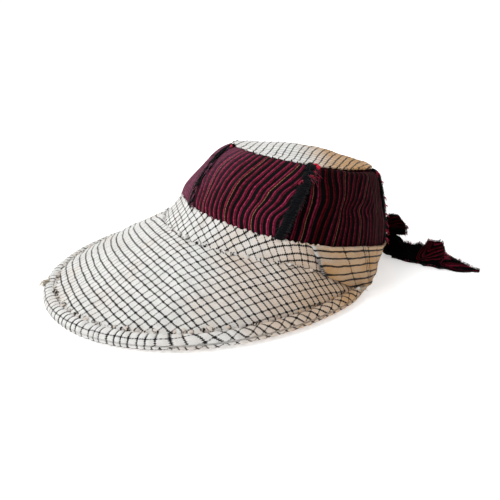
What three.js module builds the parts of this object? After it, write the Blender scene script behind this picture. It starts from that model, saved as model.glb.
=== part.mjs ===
// Checkered cap with a wide arched peak, a striped crown side and a tie behind, lying on a table.
// Millimetres. +Z is up from the table, -Y is the front, +X is the wearer's left.
import * as THREE from 'three';

// Cloth and clearances
const CLOTH = 1.6;
const PEAK_CLOTH = 2.6;
const STRIP_CLOTH = 1.2;
const GAP = 0.35;

// Crown rings: an ellipse in plan, its front higher than its back
const CROWN_FOOT = { halfWidth: 89.3, halfLength: 87.5, centreY: 1.5, sideZ: 45, rise: 19.5 };
const CROWN_TOP = { halfWidth: 58, halfLength: 66.5, centreY: 22.8, sideZ: 92.3, rise: 13 };
const BULGE_ENDS = 1;
const BULGE_SIDES = 4;
const FRONT_PUFF = 4.5;
const SIDE_PUCKER = 0.5;
const PUCKERS_ROUND = 24;
const DOME_RISE = 9.5;

// The wearer's right side has settled lower than the left
const RIGHT_SAG = 5;
const SAG_FULL_AT = 30;
const FULL_SAG_HEIGHT = 30;

// Lower edge of the checked bands, from the front (0 degrees) to the back (180 degrees):
// out is how far it stands outside the crown's foot, height is above the table
const RIM = [
  { angle: 0, out: 15, height: 49.5 },
  { angle: 20, out: 14.5, height: 48.8 },
  { angle: 40, out: 11.5, height: 46 },
  { angle: 60, out: 7.5, height: 41.8 },
  { angle: 75, out: 4, height: 36 },
  { angle: 85, out: 2, height: 29.5 },
  { angle: 95, out: 1, height: 20 },
  { angle: 104, out: 0.5, height: 11 },
  { angle: 112, out: 0.5, height: 4 },
  { angle: 120, out: 0.5, height: 0.5 },
  { angle: 130, out: 0, height: 0 },
  { angle: 150, out: -2.5, height: 0 },
  { angle: 180, out: -5, height: 0 },
];

// Bands
const FRONT_BAND_END = 88;
const BACK_BAND_START = 82;
const BACK_BAND_LAP = 1.5;
const FOLDED_END = 4;

// Peak: an ellipse on the table, closed by a padded roll
const PEAK_HALF_WIDTH = 117;
const PEAK_FRONT_LENGTH = 133.5;
const PEAK_BACK_LENGTH = 150;
const PEAK_CENTRE_Y = -60;
const PEAK_SEAM_END = 101.5;
const PEAK_EDGE_END = 121.5;
const CREST_BULGE = -1.5;
const FLANK_BULGE = 4;
const PEAK_SEAM_GAP = 1.35;
const REAR_TUCK_PER_DEGREE = 0.1;
const ROLL_RADIUS = 5;
const ROLL_SIDES = 8;
const ROLL_END = 124.5;
const ROLL_END_SHARE = 0.65;
const ROLL_TUCKS = 58;
const TUCK_DEPTH = 0.5;
const ROLL_SEAT_ANGLE = 55;

// Joints between the striped panels, at the foot and at the top of the crown side
const JOINTS = [
  { name: 'joint_front', foot: 19, top: 4 },
  { name: 'joint_left', foot: 68.5, top: 74 },
  { name: 'joint_rear_left', foot: 147, top: 150 },
  { name: 'joint_rear_right', foot: 213, top: 210 },
  { name: 'joint_right', foot: 291.5, top: 286 },
];
const PANELS = ['panel_left_front', 'panel_left_rear', 'panel_back', 'panel_right_rear', 'panel_right_front'];
const STRIP_HALF_WIDTH = 4;
const STRIP_LOCKS = 10;
const LOCK_LENGTH = 2.5;
const STRIP_FOOT = 0.06;
const STRIP_TOP = 0.94;

// Tie behind the left side of the crown
const KNOT = { x: 30, y: 96.9, z: 10, halfWidth: 12, halfDepth: 10, halfHeight: 10, creases: 5, crease: 0.06 };
const LOOP = [
  { x: 30, y: 87.6, z: 31, halfWidth: 3, halfHeight: 5 },
  { x: 30, y: 92, z: 30.5, halfWidth: 4.5, halfHeight: 8.5 },
  { x: 30, y: 98, z: 30, halfWidth: 5, halfHeight: 9.2 },
  { x: 30, y: 104, z: 27.8, halfWidth: 5, halfHeight: 9 },
  { x: 30, y: 109, z: 22.5, halfWidth: 3.5, halfHeight: 7.5 },
  { x: 30, y: 112, z: 19.5, halfWidth: 1.5, halfHeight: 3 },
];
const TAIL = [
  { x: 37, y: 105.3, halfWidth: 9, height: 13, crest: 0.2 },
  { x: 42, y: 111, halfWidth: 11, height: 14, crest: -0.2 },
  { x: 46, y: 116, halfWidth: 12, height: 14, crest: -0.1 },
  { x: 51, y: 120.5, halfWidth: 12, height: 18, crest: -0.5 },
  { x: 56, y: 124.5, halfWidth: 11.5, height: 24, crest: -0.6 },
  { x: 61, y: 128, halfWidth: 10.5, height: 22, crest: -0.4 },
  { x: 66, y: 131.5, halfWidth: 9, height: 10, crest: 0 },
  { x: 72, y: 136, halfWidth: 7.5, height: 6.5, crest: 0.2 },
  { x: 78, y: 142, halfWidth: 5, height: 4, crest: 0 },
  { x: 84, y: 149, halfWidth: 1.5, height: 1.6, crest: 0 },
];

const COLOURS = {
  cream: { color: 0xe2d8c8, roughness: 0.95, metalness: 0 },
  tan: { color: 0xc9a67c, roughness: 0.95, metalness: 0 },
  stripes: { color: 0x4a1222, roughness: 0.95, metalness: 0 },
  black: { color: 0x17161a, roughness: 0.95, metalness: 0 },
};

const DEGREE = Math.PI / 180;
const vector = (x, y, z) => new THREE.Vector3(x, y, z);
const mix = (a, b, share) => a + (b - a) * share;

// Turns any angle into 0 to 180 degrees from the front, the same on both sides
function fromFront(angle) {
  const turn = ((angle % 360) + 360) % 360;
  return turn > 180 ? 360 - turn : turn;
}

// Reads one column of a table at an angle, along a smooth curve through its rows
function readTable(rows, column, angle) {
  const last = rows.length - 2;
  const found = rows.findIndex((row, i) => i > 0 && angle <= row.angle) - 1;
  const i = found < 0 ? last : found;
  const slope = (k) => {
    const before = rows[Math.max(k - 1, 0)];
    const after = rows[Math.min(k + 1, rows.length - 1)];
    return (after[column] - before[column]) / (after.angle - before.angle);
  };
  const width = rows[i + 1].angle - rows[i].angle;
  const t = (angle - rows[i].angle) / width;
  const rise = rows[i + 1][column] - rows[i][column];
  const start = slope(i) * width;
  const end = slope(i + 1) * width;
  return rows[i][column] + t * (start + t * (3 * rise - 2 * start - end + t * (start + end - 2 * rise)));
}

// How far the right side of the crown's foot has settled at an angle, none at the front and the back
function sag(angle) {
  const rightward = Math.max(-Math.sin(angle * DEGREE), 0) / Math.sin(SAG_FULL_AT * DEGREE);
  const share = Math.min(rightward, 1);
  return RIGHT_SAG * share * share * (3 - 2 * share);
}

function ringPoint(ring, angle, out = 0) {
  const a = angle * DEGREE;
  return vector(
    (ring.halfWidth + out) * Math.sin(a),
    ring.centreY - (ring.halfLength + out) * Math.cos(a),
    ring.sideZ + ring.rise * Math.cos(a),
  );
}

function footPoint(angle) {
  const point = ringPoint(CROWN_FOOT, angle);
  point.z -= sag(angle);
  return point;
}

function rimPoint(angle) {
  const turn = fromFront(angle);
  const point = ringPoint(CROWN_FOOT, angle, readTable(RIM, 'out', turn));
  const height = readTable(RIM, 'height', turn);
  point.z = Math.max(height - sag(angle) * Math.min(height / FULL_SAG_HEIGHT, 1), 0);
  return point;
}

// Crown side between its foot and its top, softly bulged and puckered at the foot
function sidePoint(angle, level) {
  const point = footPoint(angle).lerp(ringPoint(CROWN_TOP, angle), level);
  const pucker = SIDE_PUCKER * (1 - level) ** 2 * Math.sin(angle * DEGREE * PUCKERS_ROUND);
  const a = angle * DEGREE;
  const bulge = mix(BULGE_ENDS, BULGE_SIDES, Math.sin(a) ** 2) * 4 * level * (1 - level);
  const puff = FRONT_PUFF * Math.max(Math.cos(a), 0) ** 2 * (1 - (2 * level - 1) ** 4);
  const out = bulge + puff + pucker * Math.min(level * 8, 1);
  return point.add(vector(Math.sin(a), -Math.cos(a), 0.4).normalize().multiplyScalar(out));
}

// Makes one closed mesh from points and faces, each face a list of point numbers turning outward
function solid(name, look, points, faces) {
  const geometry = new THREE.BufferGeometry();
  geometry.setAttribute('position', new THREE.Float32BufferAttribute(points.flatMap((p) => [p.x, p.y, p.z]), 3));
  geometry.setIndex(faces.flatMap((face) => face.slice(2).flatMap((_, k) => [face[0], face[k + 1], face[k + 2]])));
  geometry.computeVertexNormals();
  const mesh = new THREE.Mesh(geometry, new THREE.MeshStandardMaterial(COLOURS[look]));
  mesh.name = name;
  return mesh;
}

// A cloth wall over surface(u, v), where u runs along and v runs up the piece as seen from outside.
// outer and inner are the distances of its two faces from that surface; either may depend on u and v.
// What would reach below the table is laid flat on it.
function wall(name, look, surface, { columns, rows, outer, inner, closed = false, pole = false }) {
  const step = 1e-3;
  const distance = (side, u, v) => (typeof side === 'function' ? side(u, v) : side);
  const normal = (u, v) => {
    const along = surface(u + step, v).sub(surface(u - step, v));
    const low = Math.max(v - step, 0);
    const high = Math.min(v + step, pole ? 1 - step : 1);
    return along.cross(surface(u, high).sub(surface(u, Math.min(low, high - step)))).normalize();
  };
  const points = [];
  const grid = [outer, inner].map((side) => {
    const wide = closed ? columns : columns + 1;
    const lines = [];
    for (let j = 0; j <= rows; j += 1) {
      const tip = pole && j === rows;
      const line = [];
      for (let i = 0; i < (tip ? 1 : wide); i += 1) {
        const u = i / columns;
        const v = j / rows;
        const face = tip ? vector(0, 0, 1) : normal(u, v);
        line.push(points.length);
        const point = surface(u, v).addScaledVector(face, distance(side, u, v));
        points.push(point.setZ(Math.max(point.z, 0)));
      }
      lines.push(line);
    }
    return lines;
  });
  const at = (lines, i, j) => lines[j][lines[j].length === 1 ? 0 : i % lines[j].length];
  const faces = [];
  const addFace = (...corners) => {
    const face = corners.filter((corner, k) => corner !== corners[(k + 1) % corners.length]);
    faces.push(face);
  };
  const [skin, back] = grid;
  for (let i = 0; i < columns; i += 1) {
    for (let j = 0; j < rows; j += 1) {
      addFace(at(skin, i, j), at(skin, i + 1, j), at(skin, i + 1, j + 1), at(skin, i, j + 1));
      addFace(at(back, i, j), at(back, i, j + 1), at(back, i + 1, j + 1), at(back, i + 1, j));
    }
    addFace(at(back, i, 0), at(back, i + 1, 0), at(skin, i + 1, 0), at(skin, i, 0));
    if (!pole) addFace(at(skin, i, rows), at(skin, i + 1, rows), at(back, i + 1, rows), at(back, i, rows));
  }
  for (let j = 0; j < rows && !closed; j += 1) {
    addFace(at(skin, 0, j), at(skin, 0, j + 1), at(back, 0, j + 1), at(back, 0, j));
    addFace(at(back, columns, j), at(back, columns, j + 1), at(skin, columns, j + 1), at(skin, columns, j));
  }
  return solid(name, look, points, faces);
}

// A solid through rings of points, each ring turning the same way, closed by a fan at both ends
function loft(name, look, rings) {
  const sides = rings[0].length;
  const points = rings.flat();
  const faces = [];
  for (let k = 0; k + 1 < rings.length; k += 1) {
    for (let i = 0; i < sides; i += 1) {
      const next = (i + 1) % sides;
      faces.push([k * sides + i, k * sides + next, (k + 1) * sides + next, (k + 1) * sides + i]);
    }
  }
  const middle = (ring) => ring.reduce((sum, p) => sum.add(p), vector(0, 0, 0)).divideScalar(sides);
  const first = points.push(middle(rings[0])) - 1;
  const end = points.push(middle(rings[rings.length - 1])) - 1;
  const top = (rings.length - 1) * sides;
  for (let i = 0; i < sides; i += 1) {
    const next = (i + 1) % sides;
    faces.push([first, next, i], [end, top + i, top + next]);
  }
  return solid(name, look, points, faces);
}

function crownTop() {
  const surface = (u, v) => {
    const angle = u * 360;
    const middle = vector(0, CROWN_TOP.centreY, CROWN_TOP.sideZ);
    const point = ringPoint(CROWN_TOP, angle).lerp(middle, v);
    point.z += DOME_RISE * Math.sin(v * Math.PI / 2) ** 1.3;
    return point;
  };
  return wall('crown_top', 'cream', surface, { columns: 40, rows: 6, outer: 0, inner: -CLOTH, closed: true, pole: true });
}

// Angle of a joint at a level of the crown side, counted on past a full turn for the last panel
function jointAngle(index, level) {
  const joint = JOINTS[index % JOINTS.length];
  return mix(joint.foot, joint.top, level) + (index >= JOINTS.length ? 360 : 0);
}

function stripedPanels() {
  const lowest = 0.01;
  const highest = 0.965;
  const edge = 0.004;
  return PANELS.map((name, index) => {
    const surface = (u, v) => {
      const level = mix(lowest, highest, v);
      const angle = mix(jointAngle(index, level), jointAngle(index + 1, level), mix(edge, 1 - edge, u));
      return sidePoint(angle, level);
    };
    return wall(name, 'stripes', surface, { columns: 12, rows: 6, outer: 0, inner: -CLOTH });
  });
}

// Selvedge strips over the joints, each with a ragged fringe of locks along its rear side
function jointStrips() {
  const radius = (CROWN_FOOT.halfWidth + CROWN_TOP.halfWidth) / 2;
  const widthAngle = STRIP_HALF_WIDTH / radius / DEGREE;
  const lockAngle = LOCK_LENGTH / radius / DEGREE;
  const rows = STRIP_LOCKS * 2;
  return JOINTS.map((joint, index) => {
    const surface = (u, v) => {
      const level = mix(STRIP_FOOT, STRIP_TOP, v);
      const lock = Math.abs(((v * STRIP_LOCKS) % 1) - 0.5) * 2 * lockAngle;
      return sidePoint(jointAngle(index, level) + mix(-widthAngle, widthAngle + lock, u), level);
    };
    const inner = GAP * 2;
    return wall(joint.name, 'black', surface, { columns: 3, rows, outer: inner + STRIP_CLOTH, inner });
  });
}

// Cloth between the rim and a line that follows the crown's foot, lap above it
function bandSurface(start, end, lap) {
  return (u, v) => {
    const angle = mix(start, end, u);
    const low = rimPoint(angle);
    const high = footPoint(angle);
    const length = high.distanceTo(low);
    return low.lerp(high, v * (1 + lap / length));
  };
}

function frontBand() {
  const surface = bandSurface(-FRONT_BAND_END, FRONT_BAND_END, -GAP);
  return wall('front_band', 'cream', surface, { columns: 36, rows: 3, outer: 0, inner: -CLOTH });
}

// The back band laps over the ends of the front band, and each of its own ends is folded under
function backBand() {
  const end = 360 - BACK_BAND_START;
  const surface = bandSurface(BACK_BAND_START, end, BACK_BAND_LAP);
  const foldShare = FOLDED_END / (end - BACK_BAND_START);
  const outer = (u) => GAP + CLOTH * (u < foldShare || u > 1 - foldShare ? 1.6 : 1);
  return wall('back_band', 'tan', surface, { columns: 50, rows: 4, outer, inner: GAP });
}

function peakEdge(angle, inset) {
  const a = angle * DEGREE;
  const halfLength = Math.cos(a) > 0 ? PEAK_FRONT_LENGTH : PEAK_BACK_LENGTH;
  const outward = vector(Math.sin(a) / PEAK_HALF_WIDTH, -Math.cos(a) / halfLength, 0).normalize();
  const point = vector(PEAK_HALF_WIDTH * Math.sin(a), PEAK_CENTRE_Y - halfLength * Math.cos(a), 0);
  return { outward, point: point.addScaledVector(outward, -inset) };
}

// A point of the bands' lower edge, moved in by a depth so that the peak's top lies flush with the bands
function seamUnderBands(angle, depth) {
  const point = rimPoint(angle);
  const along = rimPoint(angle + 1).sub(rimPoint(angle - 1));
  const outward = along.cross(footPoint(angle).sub(point)).normalize();
  return point.addScaledVector(outward, -depth);
}

// The peak hangs from the bands' lower edge to the padded roll, arched between the two
function peak() {
  const half = PEAK_CLOTH / 2;
  const reach = ROLL_RADIUS + 2 * GAP;
  const surface = (u, v) => {
    const side = 2 * u - 1;
    const { outward, point } = peakEdge(side * PEAK_EDGE_END, ROLL_RADIUS);
    const seat = ROLL_SEAT_ANGLE * DEGREE;
    point.addScaledVector(outward, -reach * Math.cos(seat));
    point.z = ROLL_RADIUS + reach * Math.sin(seat);
    const seamAngle = side * PEAK_SEAM_END;
    const tuck = REAR_TUCK_PER_DEGREE * Math.max(Math.abs(seamAngle) - FRONT_BAND_END, 0);
    const top = seamUnderBands(seamAngle, half + tuck);
    top.addScaledVector(point.clone().sub(top).normalize(), PEAK_SEAM_GAP);
    const across = top.clone().sub(point);
    const fullBulge = mix(CREST_BULGE, FLANK_BULGE, outward.x ** 2);
    const bulge = fullBulge * Math.min(across.length() / 40, 1) * 4 * v * (1 - v);
    const lift = outward.clone().multiplyScalar(0.5).add(vector(0, 0, 1)).normalize();
    return point.addScaledVector(across, v).addScaledVector(lift, bulge);
  };
  return wall('peak', 'cream', surface, { columns: 44, rows: 8, outer: half, inner: -half });
}

// Padded roll along the peak's edge: tucked all the way, flat where it lies on the table
function peakBinding() {
  const steps = ROLL_TUCKS * 2;
  const rings = [];
  for (let k = 0; k <= steps; k += 1) {
    const share = k / steps;
    const { outward, point } = peakEdge(mix(-ROLL_END, ROLL_END, share), ROLL_RADIUS);
    const taper = Math.min(1, mix(ROLL_END_SHARE, 1, Math.min(k, steps - k) / 5));
    const radius = (ROLL_RADIUS - (k % 2) * TUCK_DEPTH) * taper;
    const ring = [];
    for (let i = 0; i < ROLL_SIDES; i += 1) {
      const turn = -((i + 0.5) / ROLL_SIDES) * 2 * Math.PI;
      const corner = point.clone().addScaledVector(outward, radius * Math.cos(turn));
      corner.z = ROLL_RADIUS * taper + radius * Math.sin(turn);
      const flat = Math.sin(turn) < -Math.sin(Math.PI / ROLL_SIDES) * 2;
      if (flat) corner.z = 0;
      ring.push(corner);
    }
    rings.push(ring);
  }
  return loft('peak_binding', 'cream', rings);
}

function tieKnot() {
  const sides = 14;
  const levels = 8;
  const rings = [];
  for (let k = 0; k <= levels; k += 1) {
    const polar = mix(0.12, 0.88, k / levels) * Math.PI;
    const ring = [];
    for (let i = 0; i < sides; i += 1) {
      const turn = (i / sides) * 2 * Math.PI;
      const crease = 1 + KNOT.crease * Math.cos(KNOT.creases * turn + k);
      ring.push(vector(
        KNOT.x + KNOT.halfWidth * crease * Math.sin(polar) * Math.cos(turn),
        KNOT.y + KNOT.halfDepth * crease * Math.sin(polar) * Math.sin(turn),
        KNOT.z - KNOT.halfHeight * Math.cos(polar) / Math.cos(0.12 * Math.PI),
      ));
    }
    rings.push(ring);
  }
  return loft('tie_knot', 'stripes', rings);
}

function tieLoop() {
  const sides = 10;
  const rings = LOOP.map((station) => Array.from({ length: sides }, (_, i) => {
    const turn = (i / sides) * 2 * Math.PI;
    return vector(
      station.x - station.halfWidth * Math.cos(turn),
      station.y,
      station.z + station.halfHeight * Math.sin(turn),
    );
  }));
  return loft('tie_loop', 'stripes', rings);
}

// Folded tail on the table: a flat foot and a crest that leans to one side
function tieTail() {
  const foot = [-1, -0.4, 0.4, 1];
  const top = [
    { across: 0.9, up: 0.45 },
    { across: 0.45, up: 0.7 },
    { across: 0, up: 1 },
    { across: -0.45, up: 0.65 },
    { across: -0.9, up: 0.4 },
  ];
  const rings = TAIL.map((station, k) => {
    const before = TAIL[Math.max(k - 1, 0)];
    const after = TAIL[Math.min(k + 1, TAIL.length - 1)];
    const along = vector(after.x - before.x, after.y - before.y, 0).normalize();
    const place = (across, up) => vector(
      station.x - along.y * station.halfWidth * across,
      station.y + along.x * station.halfWidth * across,
      station.height * up,
    );
    return [
      ...foot.map((across) => place(across, 0)),
      ...top.map(({ across, up }) => place(across + (up === 1 ? station.crest : station.crest * 0.2), up)),
    ];
  });
  return loft('tie_tail', 'stripes', rings);
}

const cap = new THREE.Group();
cap.add(
  crownTop(),
  ...stripedPanels(),
  ...jointStrips(),
  frontBand(),
  backBand(),
  peak(),
  peakBinding(),
  tieKnot(),
  tieLoop(),
  tieTail(),
);

// The origin is the middle of the cap's foot print on the table
const extent = new THREE.Box3().setFromObject(cap);
const middle = extent.getCenter(vector(0, 0, 0));
cap.children.forEach((piece) => piece.geometry.translate(-middle.x, -middle.y, -extent.min.z));

export default cap;
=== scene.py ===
"""Checkered cap, dressed: woven checks and stripes, gathered seams, fringe and a cloth tie.

Every shape is worked out in millimetres from the middle of the crown on the table, and turned to
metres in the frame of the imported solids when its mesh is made.
"""
import math

import bmesh
import bpy
import numpy as np
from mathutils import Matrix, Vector


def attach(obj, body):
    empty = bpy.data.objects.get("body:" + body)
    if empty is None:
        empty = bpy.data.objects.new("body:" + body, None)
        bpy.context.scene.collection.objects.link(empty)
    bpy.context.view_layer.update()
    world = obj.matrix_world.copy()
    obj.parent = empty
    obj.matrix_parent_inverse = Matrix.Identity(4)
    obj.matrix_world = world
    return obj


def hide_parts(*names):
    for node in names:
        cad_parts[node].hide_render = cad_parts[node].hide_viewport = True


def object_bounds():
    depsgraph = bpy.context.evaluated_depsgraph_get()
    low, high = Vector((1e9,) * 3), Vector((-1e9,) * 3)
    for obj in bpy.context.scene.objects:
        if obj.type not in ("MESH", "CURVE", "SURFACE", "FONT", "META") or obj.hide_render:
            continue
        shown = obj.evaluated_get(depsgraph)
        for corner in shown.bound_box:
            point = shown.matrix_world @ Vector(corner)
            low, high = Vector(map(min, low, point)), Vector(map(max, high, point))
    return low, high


bl_info = {
    "name": "Checkered cap",
    "version": (1, 0, 0),
    "blender": (4, 5, 0),
    "location": "View3D > Sidebar > Cap",
    "description": "Builds a soft checkered cap with a striped crown side, a rolled peak edge and a cloth tie",
    "category": "Add Mesh",
}

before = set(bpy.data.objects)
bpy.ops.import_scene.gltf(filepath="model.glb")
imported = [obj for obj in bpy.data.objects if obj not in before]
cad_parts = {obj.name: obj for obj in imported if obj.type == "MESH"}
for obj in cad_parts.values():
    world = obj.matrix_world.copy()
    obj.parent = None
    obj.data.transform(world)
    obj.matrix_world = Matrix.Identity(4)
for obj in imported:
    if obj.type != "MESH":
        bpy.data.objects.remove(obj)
CAD_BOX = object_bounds()

# From the crown's middle to the very front of the peak's roll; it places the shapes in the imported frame
PEAK_REACH = 193.12
CROWN_MIDDLE_Y = CAD_BOX[0].y * 1000 + PEAK_REACH

# The solids' own sizes. The two ends of the peak differ: they run further back here than in the solids,
# as the photo's outline does.
CROWN_FOOT = {"half_width": 89.3, "half_length": 87.5, "centre_y": 1.5, "side_z": 45, "rise": 19.5}
CROWN_TOP = {"half_width": 58, "half_length": 66.5, "centre_y": 22.8, "side_z": 92.3, "rise": 13}
DOME_RISE = 9.5
SAG = {"drop": 5, "full_at": 30, "full_height": 30}
RIM_ANGLES = (0, 20, 40, 60, 75, 85, 95, 104, 112, 120, 130, 150, 180)
RIM_OUT = (15, 14.5, 11.5, 7.5, 4, 2, 1, 0.5, 0.5, 0.5, 0, -2.5, -5)
RIM_HEIGHT = (49.5, 48.8, 46, 41.8, 36, 29.5, 20, 11, 4, 0.5, 0, 0, 0)
PEAK = {"half_width": 117, "front": 133.5, "back": 150, "centre_y": -60, "seam_end": 113, "edge_end": 129}
ROLL = {"radius": 5, "end": 132.6, "end_share": 0.42, "tab_gap": 3.6}
BAND_END = 88
TAB_START = 82
# Unlike the solids, the rear of the dressed cap is slumped: the striped side's foot dips, the back band's lower
# part leans in and the striped side's top is drawn in
FOOT_DIP = 7.5
BAND_LEAN = 4.2
TOP_DRAWN_IN = 3.4
# How far up the striped side's cloth it turns over the crown's edge
EDGE_CLIMB = 0.93
JOINTS = (
    {"name": "joint_front", "foot": 19, "top": 4, "share": 0.6},
    {"name": "joint_left", "foot": 68.5, "top": 74},
    {"name": "joint_rear_left", "foot": 147, "top": 150},
    {"name": "joint_rear_right", "foot": 213, "top": 210},
    {"name": "joint_right", "foot": 291.5, "top": 286},
)
PANELS = ("panel_left_front", "panel_left_rear", "panel_back", "panel_right_rear", "panel_right_front")


class CapSizes(bpy.types.PropertyGroup):
    """Sizes of the cloth's patterns and of its trim."""

    check_pitch: bpy.props.FloatProperty(
        name="Check", description="Distance between the strong black lines of the checks", default=0.00495,
        unit="LENGTH")
    thin_pitch: bpy.props.FloatProperty(
        name="Thin check", description="Distance between the thin broken lines", default=0.0051, unit="LENGTH")
    line_width: bpy.props.FloatProperty(
        name="Line", description="Width of a strong black line", default=0.00082, unit="LENGTH")
    thin_width: bpy.props.FloatProperty(
        name="Thin line", description="Width of a thin broken line", default=0.00072, unit="LENGTH")
    stripe_pitch: bpy.props.FloatProperty(
        name="Stripe", description="One red and one black stripe together", default=0.0037, unit="LENGTH")
    thread_pitch: bpy.props.FloatProperty(
        name="Thread", description="Distance between threads of the weave", default=0.0009, unit="LENGTH")
    tuck_pitch: bpy.props.FloatProperty(
        name="Tuck", description="Distance between the tucks of the rolled edge", default=0.0048, unit="LENGTH")
    fringe_length: bpy.props.FloatProperty(
        name="Fringe", description="Length of the loose threads on the joints", default=0.0024, unit="LENGTH")


class CapColours(bpy.types.PropertyGroup):
    """Colours of the cloths, as sRGB hex values."""

    cream: bpy.props.StringProperty(name="Cream", description="Unworn checked cotton", default="DEDDDA")
    tan: bpy.props.StringProperty(name="Tan", description="Checked cotton browned by age", default="C09460")
    line: bpy.props.StringProperty(name="Line", description="Black yarn of the checks", default="0C0B0E")
    crimson: bpy.props.StringProperty(name="Crimson", description="Bright stripes", default="93294C")
    maroon: bpy.props.StringProperty(name="Maroon", description="Dark stripes", default="64142A")
    black: bpy.props.StringProperty(name="Black", description="Black stripes and selvedges", default="070709")
    ochre: bpy.props.StringProperty(name="Ochre", description="Single yellow threads", default="8F6A4A")
    # On the striped cloth this colour is also painted light: the pale wash of the stripes at the front and the
    # wearer's right
    mauve: bpy.props.StringProperty(name="Mauve", description="Faded stripes on the far side", default="86506A")
    tuft: bpy.props.StringProperty(name="Tuft", description="Red tufts at the joints", default="D0203C")
    # Multiplied into the stripes: a random dulling of single stripes, and painted shade on the shaded copies of the
    # striped cloth
    shadow: bpy.props.StringProperty(name="Shadow", description="Dulls the darker stripes", default="A04A42")
    # The selvedge's two colours are painted light: shade in the nap's hollows and sheen on the raised nap
    nap_hollow_shade: bpy.props.StringProperty(name="Nap, low", description="Hollows of the selvedge", default="030305")
    nap_sheen: bpy.props.StringProperty(name="Nap, high", description="Nap of the selvedge", default="12151B")
    thread_low: bpy.props.StringProperty(name="Black thread", description="Dark strands", default="060609")
    thread_high: bpy.props.StringProperty(name="Grey thread", description="Lighter strands", default="14161C")
    natural: bpy.props.StringProperty(name="Natural", description="Unbleached thread", default="A8946C")
    floor: bpy.props.StringProperty(name="Floor", description="Studio floor", default="F4F4F4")


class CapStage(bpy.types.PropertyGroup):
    """Camera and light."""

    azimuth: bpy.props.FloatProperty(
        name="Azimuth", description="Turn of the camera round the cap", default=math.radians(71.6), subtype="ANGLE")
    elevation: bpy.props.FloatProperty(
        name="Elevation", description="Height of the camera", default=math.radians(16.892), subtype="ANGLE")
    distance: bpy.props.FloatProperty(
        name="Distance", description="Camera to the middle of the crown", default=0.34579, unit="LENGTH")
    target_height: bpy.props.FloatProperty(
        name="Target height", description="Height the camera is set against", default=0.0558, unit="LENGTH")
    lens: bpy.props.FloatProperty(name="Lens", description="Focal length in millimetres", default=27.962)
    shift_x: bpy.props.FloatProperty(name="Shift X", description="Lens shift sideways", default=-0.06449)
    shift_y: bpy.props.FloatProperty(name="Shift Y", description="Lens shift up", default=-0.10419)
    key_power: bpy.props.FloatProperty(name="Key light", description="Power of the soft key light", default=9.4)
    sky: bpy.props.FloatProperty(name="Sky", description="Strength of the room's own light", default=0.5)


# ---- numbers and curves ----

def mm(length):
    """A property in metres as millimetres."""
    return length * 1000


def roll_path(rings):
    """Middle of the roll: round the peak's edge, then along the outside of the back band's end."""
    angle = np.linspace(-ROLL["end"], ROLL["end"], rings)
    outward, middle = peak_edge(angle, ROLL["radius"])
    x, y = middle[:, 0], middle[:, 1] - CROWN_FOOT["centre_y"]
    turn = np.degrees(np.arctan2(x / CROWN_FOOT["half_width"], -y / CROWN_FOOT["half_length"]))
    a = np.radians(turn)
    away = np.stack([np.sin(a), -np.cos(a), np.zeros_like(a)], -1)
    wall = band_point(turn, np.full_like(turn, 0.12)) - away * lean_in(turn, 0.12)[..., None]
    narrowed = mix(1, ROLL["end_share"], smooth(np.abs(angle), 116, ROLL["end"]))
    short = (ROLL["tab_gap"] + ROLL["radius"] * 0.8) * narrowed - ((middle - wall) * away).sum(-1)
    push = np.where(np.abs(angle) > 95, np.maximum(short, 0), 0)
    middle = middle + away * push[:, None]
    middle[:, 2] = 0
    along = np.gradient(middle, axis=0)
    along /= np.linalg.norm(along, axis=1, keepdims=True)
    return middle, np.stack([along[:, 1], -along[:, 0], np.zeros(rings)], -1)


def wall_point(angle, climb):
    """The striped side from its foot, climb 0, to where it has turned over the crown's edge, climb 1."""
    turn_over = mix(3.0, 6.5, smooth(from_front(angle), 95, 150))[..., None]
    top = 1 - turn_over[..., 0] / 62
    level = np.minimum(climb / EDGE_CLIMB, 1) * top
    point = side_point(angle, level)
    rise = side_point(angle, top) - side_point(angle, top - 0.02)
    rise /= np.linalg.norm(rise, axis=-1, keepdims=True)
    a = np.radians(angle)
    inward = np.stack([-np.sin(a), np.cos(a), np.zeros_like(a)], -1)
    bend = math.radians(88) * np.clip((climb - EDGE_CLIMB) / (1 - EDGE_CLIMB), 0, 1)[..., None]
    drawn_in = (TOP_DRAWN_IN * level ** 2 * smooth(from_front(angle), 112, 146))[..., None]
    return point + rise * turn_over * np.sin(bend) + inward * (turn_over * (1 - np.cos(bend)) + drawn_in)


def stripe_lean(angle, level):
    """How far a stripe has wandered round the crown at a height, in degrees; 0 at the foot."""
    near = (angle < 72) & (angle > -60)
    heights = (0, 0.13, 0.25, 0.42, 0.55, 0.72, 0.94, 1.1)
    tilt = curve_through(heights, (0, 0, 0.04, 0.19, 0.25, 0.33, 0.36, 0.36), level)
    whole = curve_through(heights, (2.2, 0, -0.9, 0, 0.2, 2, 4.5, 5), level)
    front = whole + tilt * (np.clip(angle, 15, 70) - 48)
    rise = smooth(level, 0.45, 1.05) * 9 * np.clip((angle - 82) / 30, 0, 1.3)
    wave = -2.3 * np.exp(-((level - 0.47) / 0.09) ** 2) * smooth(angle, 90, 102) * (1 - smooth(angle, 112, 128))
    low = 7 * level * np.exp(-((angle - 90) / 9) ** 2) * (1 - smooth(level, 0.5, 0.9))
    rear = rise + wave + low
    return np.where(near, front, rear)


def mix(a, b, share):
    return a + (b - a) * share


def smooth(x, low, high):
    """Goes softly from 0 at low to 1 at high."""
    t = np.clip((x - low) / (high - low), 0, 1)
    return t * t * (3 - 2 * t)


def curve_through(places, values, at):
    """A smooth curve through a table's rows, read at any places."""
    places = np.asarray(places, float)
    values = np.asarray(values, float)
    count = len(places)
    before = np.maximum(np.arange(count) - 1, 0)
    after = np.minimum(np.arange(count) + 1, count - 1)
    slope = (values[after] - values[before]) / (places[after] - places[before])
    i = np.clip(np.searchsorted(places, at, side="left") - 1, 0, count - 2)
    width = places[i + 1] - places[i]
    t = (at - places[i]) / width
    rise = values[i + 1] - values[i]
    start = slope[i] * width
    end = slope[i + 1] * width
    return values[i] + t * (start + t * (3 * rise - 2 * start - end + t * (start + end - 2 * rise)))


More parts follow.
